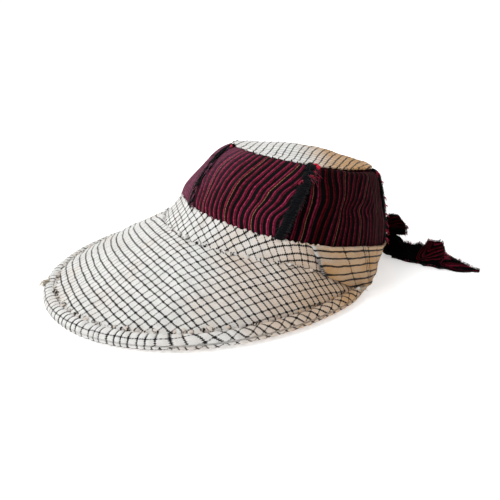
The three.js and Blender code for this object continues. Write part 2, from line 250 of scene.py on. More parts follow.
def spline(points, count, closed=False):
    """Points spread evenly in number along a smooth curve through the given points, on their first axis."""
    points = np.asarray(points, float)
    n = len(points)
    at = np.linspace(0, n if closed else n - 1, count, endpoint=not closed)
    i = np.minimum(at.astype(int), n - 1 if closed else n - 2)
    t = (at - i).reshape((-1,) + (1,) * (points.ndim - 1))

    def pick(k):
        return points[k % n] if closed else points[np.clip(k, 0, n - 1)]

    a, b, c, d = pick(i - 1), pick(i), pick(i + 1), pick(i + 2)
    return b + 0.5 * t * (c - a + t * (2 * a - 5 * b + 4 * c - d + t * (3 * (b - c) + d - a)))


def ripple(seed, *coordinates):
    """Smooth unevenness from -1 to 1 out of a few crossing waves; a coordinate is counted in waves."""
    rng = np.random.default_rng(seed)
    total = 0
    for k in range(6):
        weights = rng.uniform(-1, 1, len(coordinates))
        weights *= rng.uniform(0.6, 1.6) / max(np.linalg.norm(weights), 0.2)
        phase = rng.uniform(0, 2 * math.pi)
        total = total + np.sin(2 * math.pi * sum(w * c for w, c in zip(weights, coordinates)) + phase)
    return total / 3.5


def tucks(along, pitch, seed):
    """Gathered cloth along a seam: 0 in each crease and 1 on the puff between two, unevenly spaced."""
    uneven = along + 0.28 * pitch * ripple(seed, along / (pitch * 4.3))
    size = 0.75 + 0.25 * ripple(seed + 1, along / (pitch * 2.7))
    return np.abs(np.sin(math.pi * uneven / pitch)) ** 0.7 * size


# ---- the cap's surfaces, from its sizes ----

def from_front(angle):
    turn = np.mod(angle, 360)
    return np.where(turn > 180, 360 - turn, turn)


def sag(angle):
    share = np.clip(-np.sin(np.radians(angle)) / math.sin(math.radians(SAG["full_at"])), 0, 1)
    return SAG["drop"] * share * share * (3 - 2 * share)


def ring_point(ring, angle, out=0.0):
    a = np.radians(angle)
    return np.stack([
        (ring["half_width"] + out) * np.sin(a),
        ring["centre_y"] - (ring["half_length"] + out) * np.cos(a),
        ring["side_z"] + ring["rise"] * np.cos(a),
    ], -1)


def foot_point(angle):
    point = ring_point(CROWN_FOOT, angle)
    turn = np.mod(angle, 360)
    dip = FOOT_DIP * smooth(turn, 108, 150) * (1 - smooth(turn, 162, 205))
    point[..., 2] -= sag(angle) + dip
    return point


def rim_point(angle):
    turn = from_front(angle)
    point = ring_point(CROWN_FOOT, angle, curve_through(RIM_ANGLES, RIM_OUT, turn))
    height = curve_through(RIM_ANGLES, RIM_HEIGHT, turn)
    point[..., 2] = np.maximum(height - sag(angle) * np.minimum(height / SAG["full_height"], 1), 0)
    return point


def side_point(angle, level):
    level = np.asarray(level, float)[..., None]
    a = np.radians(angle)
    outward = np.stack([np.sin(a), -np.cos(a), np.full_like(a, 0.4)], -1)
    outward /= np.linalg.norm(outward, axis=-1, keepdims=True)
    share = level[..., 0]
    bulge = mix(1, 4, np.sin(a) ** 2) * 4 * share * (1 - share)
    puff = 4.5 * np.maximum(np.cos(a), 0) ** 2 * (1 - (2 * share - 1) ** 4)
    return mix(foot_point(angle), ring_point(CROWN_TOP, angle), level) + outward * (bulge + puff)[..., None]


def band_point(angle, climb):
    """Between the rim, climb 0, and the crown's foot, climb 1; climb may pass either."""
    low = rim_point(angle)
    return mix(low, foot_point(angle), np.asarray(climb, float)[..., None])


def lean_in(angle, climb):
    """How far the back band's lower part leans in under the crown, in millimetres."""
    return BAND_LEAN * (1 - climb) * smooth(from_front(angle), 92, 138)


def peak_edge(angle, inset):
    a = np.radians(angle)
    half_length = np.where(np.cos(a) > 0, PEAK["front"], PEAK["back"])
    outward = np.stack([np.sin(a) / PEAK["half_width"], -np.cos(a) / half_length, np.zeros_like(a)], -1)
    outward /= np.linalg.norm(outward, axis=-1, keepdims=True)
    point = np.stack([
        PEAK["half_width"] * np.sin(a), PEAK["centre_y"] - half_length * np.cos(a), np.zeros_like(a)], -1)
    return outward, point - outward * inset


def peak_point(u, v):
    """The peak's outer face, from the roll, v = 0, to under the front band, v = 1."""
    side = 2 * u - 1
    outward, low = peak_edge(side * PEAK["edge_end"], ROLL["radius"])
    seat = math.radians(62)
    low = low - outward * 4.2 * math.cos(seat)
    low[..., 2] = ROLL["radius"] + 4.2 * math.sin(seat)
    angle = side * PEAK["seam_end"]
    along = rim_point(angle + 1) - rim_point(angle - 1)
    rise = foot_point(angle) - rim_point(angle)
    inward = -np.cross(along, rise)
    inward /= np.linalg.norm(inward, axis=-1, keepdims=True)
    depth = 0.9 + 0.12 * np.maximum(np.abs(angle) - BAND_END, 0)
    high = rim_point(angle) + inward * depth[..., None]
    high = high + rise / np.linalg.norm(rise, axis=-1, keepdims=True) * 2.0
    high[..., 2] = np.maximum(high[..., 2], 4.5)
    across = high - low
    arched = np.minimum(np.linalg.norm(across, axis=-1) / 40, 1)
    bulge = mix(-1.5, 4, outward[..., 0] ** 2) * arched * 4 * v * (1 - v)
    lift = outward * 0.5 + np.array([0, 0, 1.0])
    lift /= np.linalg.norm(lift, axis=-1, keepdims=True)
    return low + across * np.asarray(v)[..., None] + lift * bulge[..., None]


def peak_cloth(point):
    """Where a point of the peak lies on its flat cloth: across the strong lines, and across the thin ones."""
    x, y, z = point[..., 0], point[..., 1], point[..., 2]
    inset = 8.3
    half_length = np.where(y < PEAK["centre_y"], PEAK["front"], PEAK["back"]) - inset
    along = np.clip((y - PEAK["centre_y"]) / half_length, -1, 1)
    edge = (PEAK["half_width"] - inset) * np.sqrt(1 - along ** 2)
    rise = 8.8 * np.clip((y + 190) / 89, 0, 1) ** 2
    reach = edge + rise - np.hypot(edge - np.abs(x), z - 9.7)
    left_over = edge + rise - np.hypot(edge, z - 9.7)
    reach = np.sign(x) * (reach - left_over * np.exp(-(x / 28) ** 2))
    return y - 0.2 * reach - 0.00225 * reach ** 2, reach + 0.16 * y


# ---- meshes ----

def grid(columns, rows, closed=False):
    u = np.arange(columns if closed else columns + 1) / columns
    v = np.arange(rows + 1) / rows
    return np.meshgrid(u, v)


def grid_normals(points, closed=False):
    if closed:
        along = np.roll(points, -1, 1) - np.roll(points, 1, 1)
    else:
        along = np.gradient(points, axis=1)
    normal = np.cross(along, np.gradient(points, axis=0))
    return normal / np.maximum(np.linalg.norm(normal, axis=-1, keepdims=True), 1e-9)


def grid_faces(rows, wide, closed=False, first=0, turned=False):
    """Quads over a grid of points that is `wide` points across and rows + 1 points up."""
    i = np.arange(wide if closed else wide - 1)
    j = np.arange(rows)
    i, j = np.meshgrid(i, j)
    nxt = (i + 1) % wide
    faces = np.stack([j * wide + i, j * wide + nxt, (j + 1) * wide + nxt, (j + 1) * wide + i], -1).reshape(-1, 4)
    return (faces[:, ::-1] if turned else faces) + first


def make_mesh(name, points, faces, cloth, wear_and_light, material, smoothly=True):
    """A mesh object from points in millimetres, with the cloth's own coordinates and a wear-and-light value kept on
    each point: age browning, and in places painted shade and painted light.
    """
    points = np.asarray(points, float).reshape(-1, 3)
    placed = (points + np.array([0, CROWN_MIDDLE_Y, 0])) * 0.001
    mesh = bpy.data.meshes.new(name)
    mesh.from_pydata(placed.tolist(), [], [list(map(int, face)) for face in faces])
    mesh.validate()
    attribute = mesh.attributes.new("cloth", "FLOAT_VECTOR", "POINT")
    flat = np.zeros((len(points), 3), np.float32)
    flat[:, :np.shape(cloth)[-1]] = np.asarray(cloth, float).reshape(len(points), -1)
    attribute.data.foreach_set("vector", flat.ravel())
    attribute = mesh.attributes.new("wear_and_light", "FLOAT", "POINT")
    attribute.data.foreach_set("value", np.asarray(wear_and_light, np.float32).ravel())
    if smoothly:
        mesh.polygons.foreach_set("use_smooth", [True] * len(mesh.polygons))
    mesh.materials.append(material)
    piece = bpy.data.objects.new(name, mesh)
    bpy.context.scene.collection.objects.link(piece)
    return piece


def cloth_wall(name, outside, thickness, cloth, wear_and_light, material, closed=False):
    """One layer of cloth with its back and edges: outside is a grid of points of its outer face."""
    rows, wide = outside.shape[0] - 1, outside.shape[1]
    inside = outside - grid_normals(outside, closed) * np.asarray(thickness)[..., None]
    inside[..., 2] = np.maximum(inside[..., 2], 0)
    total = outside.shape[0] * wide
    faces = [grid_faces(rows, wide, closed), grid_faces(rows, wide, closed, total, turned=True)]
    i = np.arange(wide if closed else wide - 1)
    nxt = (i + 1) % wide
    top = rows * wide
    faces.append(np.stack([total + i, total + nxt, nxt, i], -1))
    faces.append(np.stack([top + i, top + nxt, total + top + nxt, total + top + i], -1))
    if not closed:
        j = np.arange(rows) * wide
        k = j + wide
        faces.append(np.stack([j, k, total + k, total + j], -1))
        faces.append(np.stack([total + j + wide - 1, total + k + wide - 1, k + wide - 1, j + wide - 1], -1))
    both = np.concatenate([outside.reshape(-1, 3), inside.reshape(-1, 3)])
    flat = np.stack([np.asarray(c) for c in cloth], -1).reshape(-1, len(cloth))
    wear_and_light_share = np.asarray(wear_and_light).ravel()
    return make_mesh(name, both, np.concatenate(faces), np.concatenate([flat, flat]), np.concatenate([wear_and_light_share, wear_and_light_share]),
                     material)


def tube_faces(rings, sides):
    """Faces over rings of points, ring after ring, each turning so that the faces look outward."""
    last = (rings - 1) * sides
    return [*grid_faces(rings - 1, sides, True).tolist(),
            list(range(sides))[::-1], list(range(last, last + sides))]


def strands(name, roots, directions, lengths, radius, material, seed, droop=0.4, curl=0.35):
    """Loose threads as thin tapering tubes, each from a root along its own direction."""
    steps, sides = 5, 3
    rng = np.random.default_rng(seed)
    roots = np.asarray(roots, float)
    count = len(roots)
    aim = np.asarray(directions, float) + rng.normal(0, 0.22, (count, 3))
    aim /= np.linalg.norm(aim, axis=1, keepdims=True)
    long = np.asarray(lengths, float) * rng.uniform(0.55, 1.25, count)
    turn = rng.normal(0, 1, (count, 3))
    turn -= aim * (turn * aim).sum(1, keepdims=True)
    turn /= np.linalg.norm(turn, axis=1, keepdims=True)
    other = np.cross(aim, turn)
    share = np.linspace(0, 1, steps)[None, :, None]
    path = roots[:, None] + aim[:, None] * long[:, None, None] * share
    path = path + turn[:, None] * (long[:, None, None] * curl * rng.uniform(-1, 1, (count, 1, 1)) * share ** 2)
    path[..., 2] -= droop * long[:, None] * share[..., 0] ** 2
    path[..., 2] = np.maximum(path[..., 2], radius)
    corner = np.arange(sides) * 2 * math.pi / sides
    thin = radius * (1 - 0.55 * share)
    ring = (turn[:, None, None] * np.cos(corner)[None, None, :, None]
            + other[:, None, None] * np.sin(corner)[None, None, :, None])
    points = path[:, :, None] + ring * thin[..., None]
    base = tube_faces(steps, sides)
    per = steps * sides
    faces = [[corner_number + k * per for corner_number in face] for k in range(count) for face in base]
    wear_and_light = np.repeat(rng.uniform(0, 1, count), per)
    flat = np.zeros((count, steps, sides, 2))
    flat[..., 0] = np.arange(count)[:, None, None]
    flat[..., 1] = long[:, None, None] * share[..., 0][..., None]
    return make_mesh(name, points, faces, flat.reshape(-1, 2), wear_and_light, material)


def puffs(name, centres, along, outward, sizes, material, seed, wear_and_light):
    """Small pillows of gathered cloth in a row along a seam, each pinched at its ends."""
    rng = np.random.default_rng(seed)
    rings, sides = 9, 14
    centres = np.asarray(centres, float)
    count = len(centres)
    along = along / np.linalg.norm(along, axis=1, keepdims=True)
    outward = outward / np.linalg.norm(outward, axis=1, keepdims=True)
    third = np.cross(along, outward)
    polar = np.linspace(0.06, 0.94, rings) * math.pi
    turn = np.arange(sides) * 2 * math.pi / sides
    creases = rng.uniform(0, 2 * math.pi, count)[:, None, None]
    lump = 1 + 0.16 * np.cos(3 * turn[None, None] + creases) + 0.1 * np.cos(5 * turn[None, None] - 2 * creases)
    wide = np.sin(polar)[None, :, None] * lump
    length = -np.cos(polar)[None, :, None] * np.ones((count, 1, sides))
    sizes = np.asarray(sizes, float)
    local = [length * sizes[:, 0, None, None],
             wide * np.cos(turn)[None, None] * sizes[:, 1, None, None],
             wide * np.sin(turn)[None, None] * sizes[:, 2, None, None]]
    points = centres[:, None, None] + sum(
        axis[:, None, None] * part[..., None] for axis, part in zip((along, outward, third), local))
    points[..., 2] = np.maximum(points[..., 2], 0.1)
    base = tube_faces(rings, sides)
    per = rings * sides
    faces = [[number + k * per for number in face] for k in range(count) for face in base]
    flat = np.stack([local[0] + rng.uniform(0, 40, count)[:, None, None], local[1] + local[2]
                     + rng.uniform(0, 40, count)[:, None, None]], -1)
    return make_mesh(name, points, faces, flat.reshape(-1, 2), np.repeat(wear_and_light, per), material)


def finish_piece(piece, slot, *nodes):
    """The piece rides with the cap and stands for its solids."""
    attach(piece, "root")
    if nodes:
        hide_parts(*nodes)


# ---- materials ----

def linear(hex_colour):
    """An sRGB hex colour as linear red, green, blue and alpha."""
    parts = [int(hex_colour[i:i + 2], 16) / 255 for i in (0, 2, 4)]
    return [p / 12.92 if p <= 0.04045 else ((p + 0.055) / 1.055) ** 2.4 for p in parts] + [1.0]


def add_node(tree, kind, inputs=None, **settings):
    """Adds a node with its settings; an input is a value, or a socket that is linked."""
    made = tree.nodes.new(kind)
    for key, value in settings.items():
        setattr(made, key, value)
    for key, value in (inputs or {}).items():
        if isinstance(value, bpy.types.NodeSocket):
            tree.links.new(value, made.inputs[key])
        else:
            made.inputs[key].default_value = value
    return made


def new_material(name):
    material = bpy.data.materials.new(name)
    material.use_nodes = True
    tree = material.node_tree
    tree.nodes.clear()
    return material, tree


def woven_finish(tree, colour, height, strength, roughness=0.93, fuzz=0.08, gloss=0.15):
    """Matt cotton: no mirror gloss, a faint edge fuzz, and a bump of threads and small creases."""
    bump = add_node(tree, "ShaderNodeBump", {"Strength": strength, "Distance": 0.0006, "Height": height})
    surface = add_node(tree, "ShaderNodeBsdfPrincipled", {
        "Base Color": colour, "Roughness": roughness, "Specular IOR Level": gloss, "Sheen Weight": fuzz,
        "Sheen Roughness": 0.6, "Normal": bump.outputs[0]})
    add_node(tree, "ShaderNodeOutputMaterial", {"Surface": surface.outputs[0]})


def checked_cotton(name, strong_pitch, thin_pitch, sizes, colours, strong_width=None, tone_share=1.0, beading=0.25):
    """Plain-woven cotton with black yarns: strong lines one way and thin broken ones the other.

    The eye gets a pale cloth ruled in uneven squares, dark where two yarns cross, and browned by age.
    """
    material, tree = new_material(name)
    math_node = "ShaderNodeMath"
    place = add_node(tree, "ShaderNodeAttribute", attribute_name="cloth")
    wear_and_light_share = add_node(tree, "ShaderNodeAttribute", attribute_name="wear_and_light")
    drift = add_node(tree, "ShaderNodeTexNoise", {"Vector": place.outputs["Vector"], "Scale": 0.13, "Detail": 3.0})
    drift_parts = add_node(tree, "ShaderNodeSeparateColor", {0: drift.outputs["Color"]})
    parts = add_node(tree, "ShaderNodeSeparateXYZ", {0: place.outputs["Vector"]})
    axes = []
    for axis, pitch in ((0, strong_pitch), (1, thin_pitch)):
        shifted = add_node(tree, math_node, {0: drift_parts.outputs[axis], 1: 1.6, 2: parts.outputs[axis]},
                           operation="MULTIPLY_ADD")
        shifted = add_node(tree, math_node, {0: shifted.outputs[0], 1: 0.8}, operation="SUBTRACT")
        counted = add_node(tree, math_node, {0: shifted.outputs[0], 1: pitch}, operation="DIVIDE")
        line = add_node(tree, math_node, {0: counted.outputs[0]}, operation="ROUND")
        chance = add_node(tree, "ShaderNodeTexWhiteNoise", {"W": line.outputs[0]}, noise_dimensions="1D")
        jitter = add_node(tree, math_node, {0: chance.outputs["Value"], 1: 0.16, 2: counted.outputs[0]},
                          operation="MULTIPLY_ADD")
        centred = add_node(tree, math_node, {0: jitter.outputs[0], 1: 0.08}, operation="SUBTRACT")
        off = add_node(tree, math_node, {0: centred.outputs[0], 1: line.outputs[0]}, operation="SUBTRACT")
        distance = add_node(tree, math_node, {0: off.outputs[0]}, operation="ABSOLUTE")
        real = add_node(tree, math_node, {0: distance.outputs[0], 1: pitch}, operation="MULTIPLY")
        axes.append({"at": shifted.outputs[0], "line": line.outputs[0], "distance": real.outputs[0]})
    strong, thin = axes
    half_strong = (strong_width or mm(sizes.line_width)) / 2
    half_thin = mm(sizes.thin_width) / 2
    # the yarn thickens and thins over and under the threads it crosses, most where two black yarns meet
    beads = add_node(tree, math_node, {0: thin["at"], 1: parts.outputs[2]}, operation="ADD")
    beads = add_node(tree, math_node, {0: beads.outputs[0], 1: 2 * math.pi / (mm(sizes.thread_pitch) * 1.35)},
                     operation="MULTIPLY")
    beads = add_node(tree, math_node, {0: beads.outputs[0]}, operation="SINE")
    beads = add_node(tree, math_node, {0: beads.outputs[0], 1: beading, 2: strong["distance"]},
                     operation="MULTIPLY_ADD")
    beads = add_node(tree, math_node, {0: wear_and_light_share.outputs["Fac"], 1: -0.17, 2: beads.outputs[0]},
                     operation="MULTIPLY_ADD")
    crossing = add_node(tree, "ShaderNodeMapRange", {
        0: thin["distance"], 1: 1.0, 2: 0.3, 3: 0.0, 4: 0.36}, interpolation_type="SMOOTHSTEP")
    beads = add_node(tree, math_node, {0: beads.outputs[0], 1: crossing.outputs[0]}, operation="SUBTRACT")
    strong_mask = add_node(tree, "ShaderNodeMapRange", {
        0: beads.outputs[0], 1: half_strong + 0.22, 2: half_strong - 0.2, 3: 0.0, 4: 1.0},
        interpolation_type="SMOOTHSTEP")
    dashes = add_node(tree, math_node, {0: strong["at"], 1: 2 * math.pi / (mm(sizes.thread_pitch) * 1.6)},
                      operation="MULTIPLY")
    dashes = add_node(tree, math_node, {0: dashes.outputs[0]}, operation="SINE")
    dashes = add_node(tree, "ShaderNodeMapRange", {0: dashes.outputs[0], 1: -0.5, 2: 0.35, 3: 0.46, 4: 1.0})
    faint = add_node(tree, "ShaderNodeTexNoise", {"Vector": place.outputs["Vector"], "Scale": 0.045, "Detail": 1.0})
    faint = add_node(tree, math_node, {0: wear_and_light_share.outputs["Fac"], 1: 0.6, 2: faint.outputs["Fac"]},
                     operation="MULTIPLY_ADD")
    faint = add_node(tree, "ShaderNodeMapRange", {0: faint.outputs[0], 1: 0.35, 2: 0.8, 3: 0.78, 4: 1.0})
    thin_mask = add_node(tree, "ShaderNodeMapRange", {
        0: thin["distance"], 1: half_thin + 0.22, 2: half_thin - 0.12, 3: 0.0, 4: 1.0},
        interpolation_type="SMOOTHSTEP")
    thin_shown = add_node(tree, math_node, {0: thin_mask.outputs[0], 1: dashes.outputs[0]}, operation="MULTIPLY")
    thin_shown = add_node(tree, math_node, {0: thin_shown.outputs[0], 1: faint.outputs[0]}, operation="MULTIPLY")
    ruled = add_node(tree, math_node, {0: strong_mask.outputs[0], 1: thin_shown.outputs[0]}, operation="MAXIMUM")
    # browning follows the wear-and-light value in soft blotches: age browning, and painted shade on the roll's side
    # against the peak and on the seam puffs there; where the back band's end and top edge are paler it is painted
    # highlight
    blotch = add_node(tree, "ShaderNodeTexNoise", {"Vector": place.outputs["Vector"], "Scale": 0.05, "Detail": 4.0})
    browned = add_node(tree, math_node, {0: blotch.outputs["Fac"], 1: 0.7, 2: wear_and_light_share.outputs["Fac"]},
                       operation="MULTIPLY_ADD")
    browned = add_node(tree, math_node, {0: browned.outputs[0], 1: 0.4}, operation="SUBTRACT", use_clamp=True)
    ground = add_node(tree, "ShaderNodeMix", {
        0: browned.outputs[0], 6: linear(colours.cream), 7: linear(colours.tan)}, data_type="RGBA")
    cell = add_node(tree, math_node, {0: strong["line"], 1: 17.3, 2: thin["line"]}, operation="MULTIPLY_ADD")
    cell = add_node(tree, "ShaderNodeTexWhiteNoise", {"W": cell.outputs[0]}, noise_dimensions="1D")
    threads = add_node(tree, "ShaderNodeVectorMath", {
        0: place.outputs["Vector"], 1: (2 * math.pi / mm(sizes.thread_pitch),) * 3}, operation="MULTIPLY")
    threads = add_node(tree, "ShaderNodeVectorMath", {0: threads.outputs[0]}, operation="SINE")
    threads = add_node(tree, "ShaderNodeSeparateXYZ", {0: threads.outputs[0]})
    weave = add_node(tree, math_node, {0: threads.outputs[0], 1: threads.outputs[1]}, operation="MULTIPLY")
    slub = add_node(tree, "ShaderNodeTexNoise", {"Vector": place.outputs["Vector"], "Scale": 0.9, "Detail": 3.0})
    # tone_share scales the cloth's brightness; below 1, on the back band, it is painted shade
    tone = add_node(tree, math_node, {0: cell.outputs["Value"], 1: 0.1, 2: 0.8 * tone_share},
                    operation="MULTIPLY_ADD")
    tone = add_node(tree, math_node, {0: slub.outputs["Fac"], 1: 0.3, 2: tone.outputs[0]}, operation="MULTIPLY_ADD")
    tone = add_node(tree, math_node, {0: weave.outputs[0], 1: 0.07, 2: tone.outputs[0]}, operation="MULTIPLY_ADD")
    toned = add_node(tree, "ShaderNodeVectorMath", {0: ground.outputs[2], "Scale": tone.outputs[0]},
                     operation="SCALE")
    inked = add_node(tree, "ShaderNodeMix", {
        0: ruled.outputs[0], 6: toned.outputs[0], 7: linear(colours.line)}, data_type="RGBA")
    crumple = add_node(tree, "ShaderNodeTexNoise", {
        "Vector": place.outputs["Vector"], "Scale": 0.28, "Detail": 3.0})
    height = add_node(tree, math_node, {0: weave.outputs[0], 1: 0.12, 2: crumple.outputs["Fac"]},
                      operation="MULTIPLY_ADD")
    height = add_node(tree, math_node, {0: ruled.outputs[0], 1: 0.25, 2: height.outputs[0]},
                      operation="MULTIPLY_ADD")
    woven_finish(tree, inked.outputs[2], height.outputs[0], 0.9)
    return material


def striped_cotton(name, sizes, colours, painted_shade=0.0, gold_share=1.0):
    """Warp-striped cotton: crimson and maroon bands between black ones, with a single ochre thread at times.

    The eye gets narrow uneven stripes of thick yarn. Where the wear-and-light value is high they are washed paler
    to mauve, as painted light; a shade share above 0 darkens the whole cloth, as painted shade, for the copies that
    stand in shade.
    """
    material, tree = new_material(name)
    math_node = "ShaderNodeMath"
    pitch = mm(sizes.stripe_pitch)
    place = add_node(tree, "ShaderNodeAttribute", attribute_name="cloth")
    wear_and_light_share = add_node(tree, "ShaderNodeAttribute", attribute_name="wear_and_light")
    parts = add_node(tree, "ShaderNodeSeparateXYZ", {0: place.outputs["Vector"]})
    drift = add_node(tree, "ShaderNodeTexNoise", {"Vector": place.outputs["Vector"], "Scale": 0.1, "Detail": 2.0})
    across = add_node(tree, math_node, {0: drift.outputs["Fac"], 1: 1.0, 2: parts.outputs[0]},
                      operation="MULTIPLY_ADD")
    counted = add_node(tree, math_node, {0: across.outputs[0], 1: pitch}, operation="DIVIDE")
    number = add_node(tree, math_node, {0: counted.outputs[0]}, operation="FLOOR")
    inside = add_node(tree, math_node, {0: counted.outputs[0], 1: number.outputs[0]}, operation="SUBTRACT")
    chance = add_node(tree, "ShaderNodeTexWhiteNoise", {"W": number.outputs[0]}, noise_dimensions="1D")
    chances = add_node(tree, "ShaderNodeSeparateColor", {0: chance.outputs["Color"]})
    bent = add_node(tree, "ShaderNodeMapRange", {0: chances.outputs[0], 1: 0.0, 2: 1.0, 3: 0.75, 4: 1.25})
    bent = add_node(tree, math_node, {0: inside.outputs[0], 1: bent.outputs[0]}, operation="POWER")
    bands = add_node(tree, "ShaderNodeValToRGB", {0: bent.outputs[0]})
    ramp = bands.color_ramp
    rows = ((0.0, colours.black), (0.07, colours.black), (0.12, colours.crimson), (0.29, colours.crimson),
            (0.33, colours.black), (0.36, colours.black), (0.41, colours.maroon), (0.53, colours.maroon),
            (0.59, colours.black), (1.0, colours.black))
    for place_in_pitch, colour in rows[2:]:
        ramp.elements.new(place_in_pitch)
    for element, (place_in_pitch, colour) in zip(ramp.elements, rows):
        element.position = place_in_pitch
        element.color = linear(colour)
    # painted shade: the stripes are multiplied by the dull-and-shade colour, by a random share per stripe for the
    # cloth's own dulling, raised by the shade share on the shaded copies
    dull_and_shade_share = add_node(tree, "ShaderNodeMapRange", {0: chances.outputs[1], 1: 0.0, 2: 1.0, 3: painted_shade, 4: painted_shade + 0.5})
    striped = add_node(tree, "ShaderNodeMix", {
        0: dull_and_shade_share.outputs[0], 6: bands.outputs[0], 7: linear(colours.shadow)},
        data_type="RGBA", blend_type="MULTIPLY")
    gold = add_node(tree, math_node, {0: inside.outputs[0], 1: 0.52}, operation="SUBTRACT")
    gold = add_node(tree, math_node, {0: gold.outputs[0]}, operation="ABSOLUTE")
    gold = add_node(tree, "ShaderNodeMapRange", {0: gold.outputs[0], 1: 0.07, 2: 0.03, 3: 0.0, 4: 1.0},
                    interpolation_type="SMOOTHSTEP")
    every_fifth = add_node(tree, math_node, {0: number.outputs[0], 1: 5.0}, operation="FLOORED_MODULO")
    every_fifth = add_node(tree, math_node, {0: every_fifth.outputs[0], 1: 0.5}, operation="LESS_THAN")
    ticks = add_node(tree, math_node, {0: parts.outputs[1], 1: 2 * math.pi / 1.6}, operation="MULTIPLY")
    ticks = add_node(tree, math_node, {0: ticks.outputs[0]}, operation="SINE")
    ticks = add_node(tree, "ShaderNodeMapRange", {
        0: ticks.outputs[0], 1: -1.0, 2: 0.6, 3: 0.4 * gold_share, 4: (0.9 - painted_shade * 0.4) * gold_share})
    gold = add_node(tree, math_node, {0: gold.outputs[0], 1: every_fifth.outputs[0]}, operation="MULTIPLY")
    gold = add_node(tree, math_node, {0: gold.outputs[0], 1: ticks.outputs[0]}, operation="MULTIPLY")
    striped = add_node(tree, "ShaderNodeMix", {0: gold.outputs[0], 6: striped.outputs[2], 7: linear(colours.ochre)},
                       data_type="RGBA")
    # painted light: a high wear-and-light value washes the stripes paler towards mauve
    light_wash = add_node(tree, math_node, {0: wear_and_light_share.outputs["Fac"], 1: 0.6}, operation="MULTIPLY")
    striped = add_node(tree, "ShaderNodeMix", {0: light_wash.outputs[0], 6: striped.outputs[2], 7: linear(colours.mauve)},
                       data_type="RGBA")
    streak = add_node(tree, "ShaderNodeVectorMath", {0: place.outputs["Vector"], 1: (1.6, 0.3, 1.0)},
                      operation="MULTIPLY")
    streak = add_node(tree, "ShaderNodeTexNoise", {"Vector": streak.outputs[0], "Scale": 1.0, "Detail": 3.0})
    # the streaked tone is lowered by the shade share, as painted shade; the ochre ticks and the sheen are lessened
    # with it
    tone = add_node(tree, "ShaderNodeMapRange", {
        0: streak.outputs["Fac"], 1: 0.25, 2: 0.75, 3: 0.55 * (1 - painted_shade), 4: 1.4 * (1 - painted_shade)})
    # single picks of the weave catch more or less light, so each stripe is speckled
    pick = add_node(tree, math_node, {0: parts.outputs[1], 1: mm(sizes.thread_pitch)}, operation="DIVIDE")
    pick = add_node(tree, math_node, {0: pick.outputs[0]}, operation="FLOOR")
    yarn = add_node(tree, math_node, {0: across.outputs[0], 1: mm(sizes.thread_pitch)}, operation="DIVIDE")
    yarn = add_node(tree, math_node, {0: yarn.outputs[0]}, operation="FLOOR")
    speck = add_node(tree, math_node, {0: yarn.outputs[0], 1: 37.7, 2: pick.outputs[0]}, operation="MULTIPLY_ADD")
    speck = add_node(tree, "ShaderNodeTexWhiteNoise", {"W": speck.outputs[0]}, noise_dimensions="1D")
    speck = add_node(tree, "ShaderNodeMapRange", {0: speck.outputs["Value"], 1: 0.0, 2: 1.0, 3: 0.6, 4: 1.4})
    tone = add_node(tree, math_node, {0: tone.outputs[0], 1: speck.outputs[0]}, operation="MULTIPLY")
    toned = add_node(tree, "ShaderNodeVectorMath", {0: striped.outputs[2], "Scale": tone.outputs[0]},
                     operation="SCALE")
    ribs = add_node(tree, math_node, {0: across.outputs[0], 1: 2 * math.pi / 1.1}, operation="MULTIPLY")
    ribs = add_node(tree, math_node, {0: ribs.outputs[0]}, operation="SINE")
    height = add_node(tree, math_node, {0: ribs.outputs[0], 1: 0.2, 2: streak.outputs["Fac"]},
                      operation="MULTIPLY_ADD")
    height = add_node(tree, math_node, {0: ticks.outputs[0], 1: 0.15, 2: height.outputs[0]},
                      operation="MULTIPLY_ADD")
    woven_finish(tree, toned.outputs[0], height.outputs[0], 0.7,
                 fuzz=0.03 * (1 - painted_shade) ** 2, gloss=0.05 * (1 - painted_shade))
    return material


def spun_thread(name, first, second):
    """Cotton thread, loosely spun: each strand has its own shade between two colours."""
    material, tree = new_material(name)
    wear_and_light_share = add_node(tree, "ShaderNodeAttribute", attribute_name="wear_and_light")
    place = add_node(tree, "ShaderNodeAttribute", attribute_name="cloth")
    noise = add_node(tree, "ShaderNodeTexNoise", {"Vector": place.outputs["Vector"], "Scale": 1.4, "Detail": 2.0})
    share = add_node(tree, "ShaderNodeMath", {0: noise.outputs["Fac"], 1: 0.5, 2: wear_and_light_share.outputs["Fac"]},
                     operation="MULTIPLY_ADD")
    share = add_node(tree, "ShaderNodeMath", {0: share.outputs[0], 1: 0.25}, operation="SUBTRACT", use_clamp=True)
    colour = add_node(tree, "ShaderNodeMix", {0: share.outputs[0], 6: linear(first), 7: linear(second)},
                      data_type="RGBA")
    woven_finish(tree, colour.outputs[2], noise.outputs["Fac"], 0.5, roughness=0.9)
    return material


def napped_selvedge(name, colours):
    """Black selvedge with a brushed nap: the eye gets a soft blue-black band with fine ribs across it, painted
    darker in the hollows as shade and lighter on the raised nap as sheen.
    """
    material, tree = new_material(name)
    place = add_node(tree, "ShaderNodeAttribute", attribute_name="cloth")
    parts = add_node(tree, "ShaderNodeSeparateXYZ", {0: place.outputs["Vector"]})
    nap = add_node(tree, "ShaderNodeTexNoise", {"Vector": place.outputs["Vector"], "Scale": 1.1, "Detail": 4.0})
    ribs = add_node(tree, "ShaderNodeMath", {0: parts.outputs[1], 1: 2 * math.pi / 1.7}, operation="MULTIPLY")
    ribs = add_node(tree, "ShaderNodeMath", {0: ribs.outputs[0]}, operation="SINE")
    both = add_node(tree, "ShaderNodeMath", {0: ribs.outputs[0], 1: 0.2, 2: nap.outputs["Fac"]},
                    operation="MULTIPLY_ADD")
    # the colour follows the bump's height: painted shade in the hollows, painted sheen on the raised nap
    share = add_node(tree, "ShaderNodeMapRange", {0: both.outputs[0], 1: 0.45, 2: 0.95, 3: 0.0, 4: 1.0})
    colour = add_node(tree, "ShaderNodeMix", {
        0: share.outputs[0], 6: linear(colours.nap_hollow_shade), 7: linear(colours.nap_sheen)}, data_type="RGBA")
    woven_finish(tree, colour.outputs[2], both.outputs[0], 0.9, fuzz=0.04, gloss=0.05)
    return material


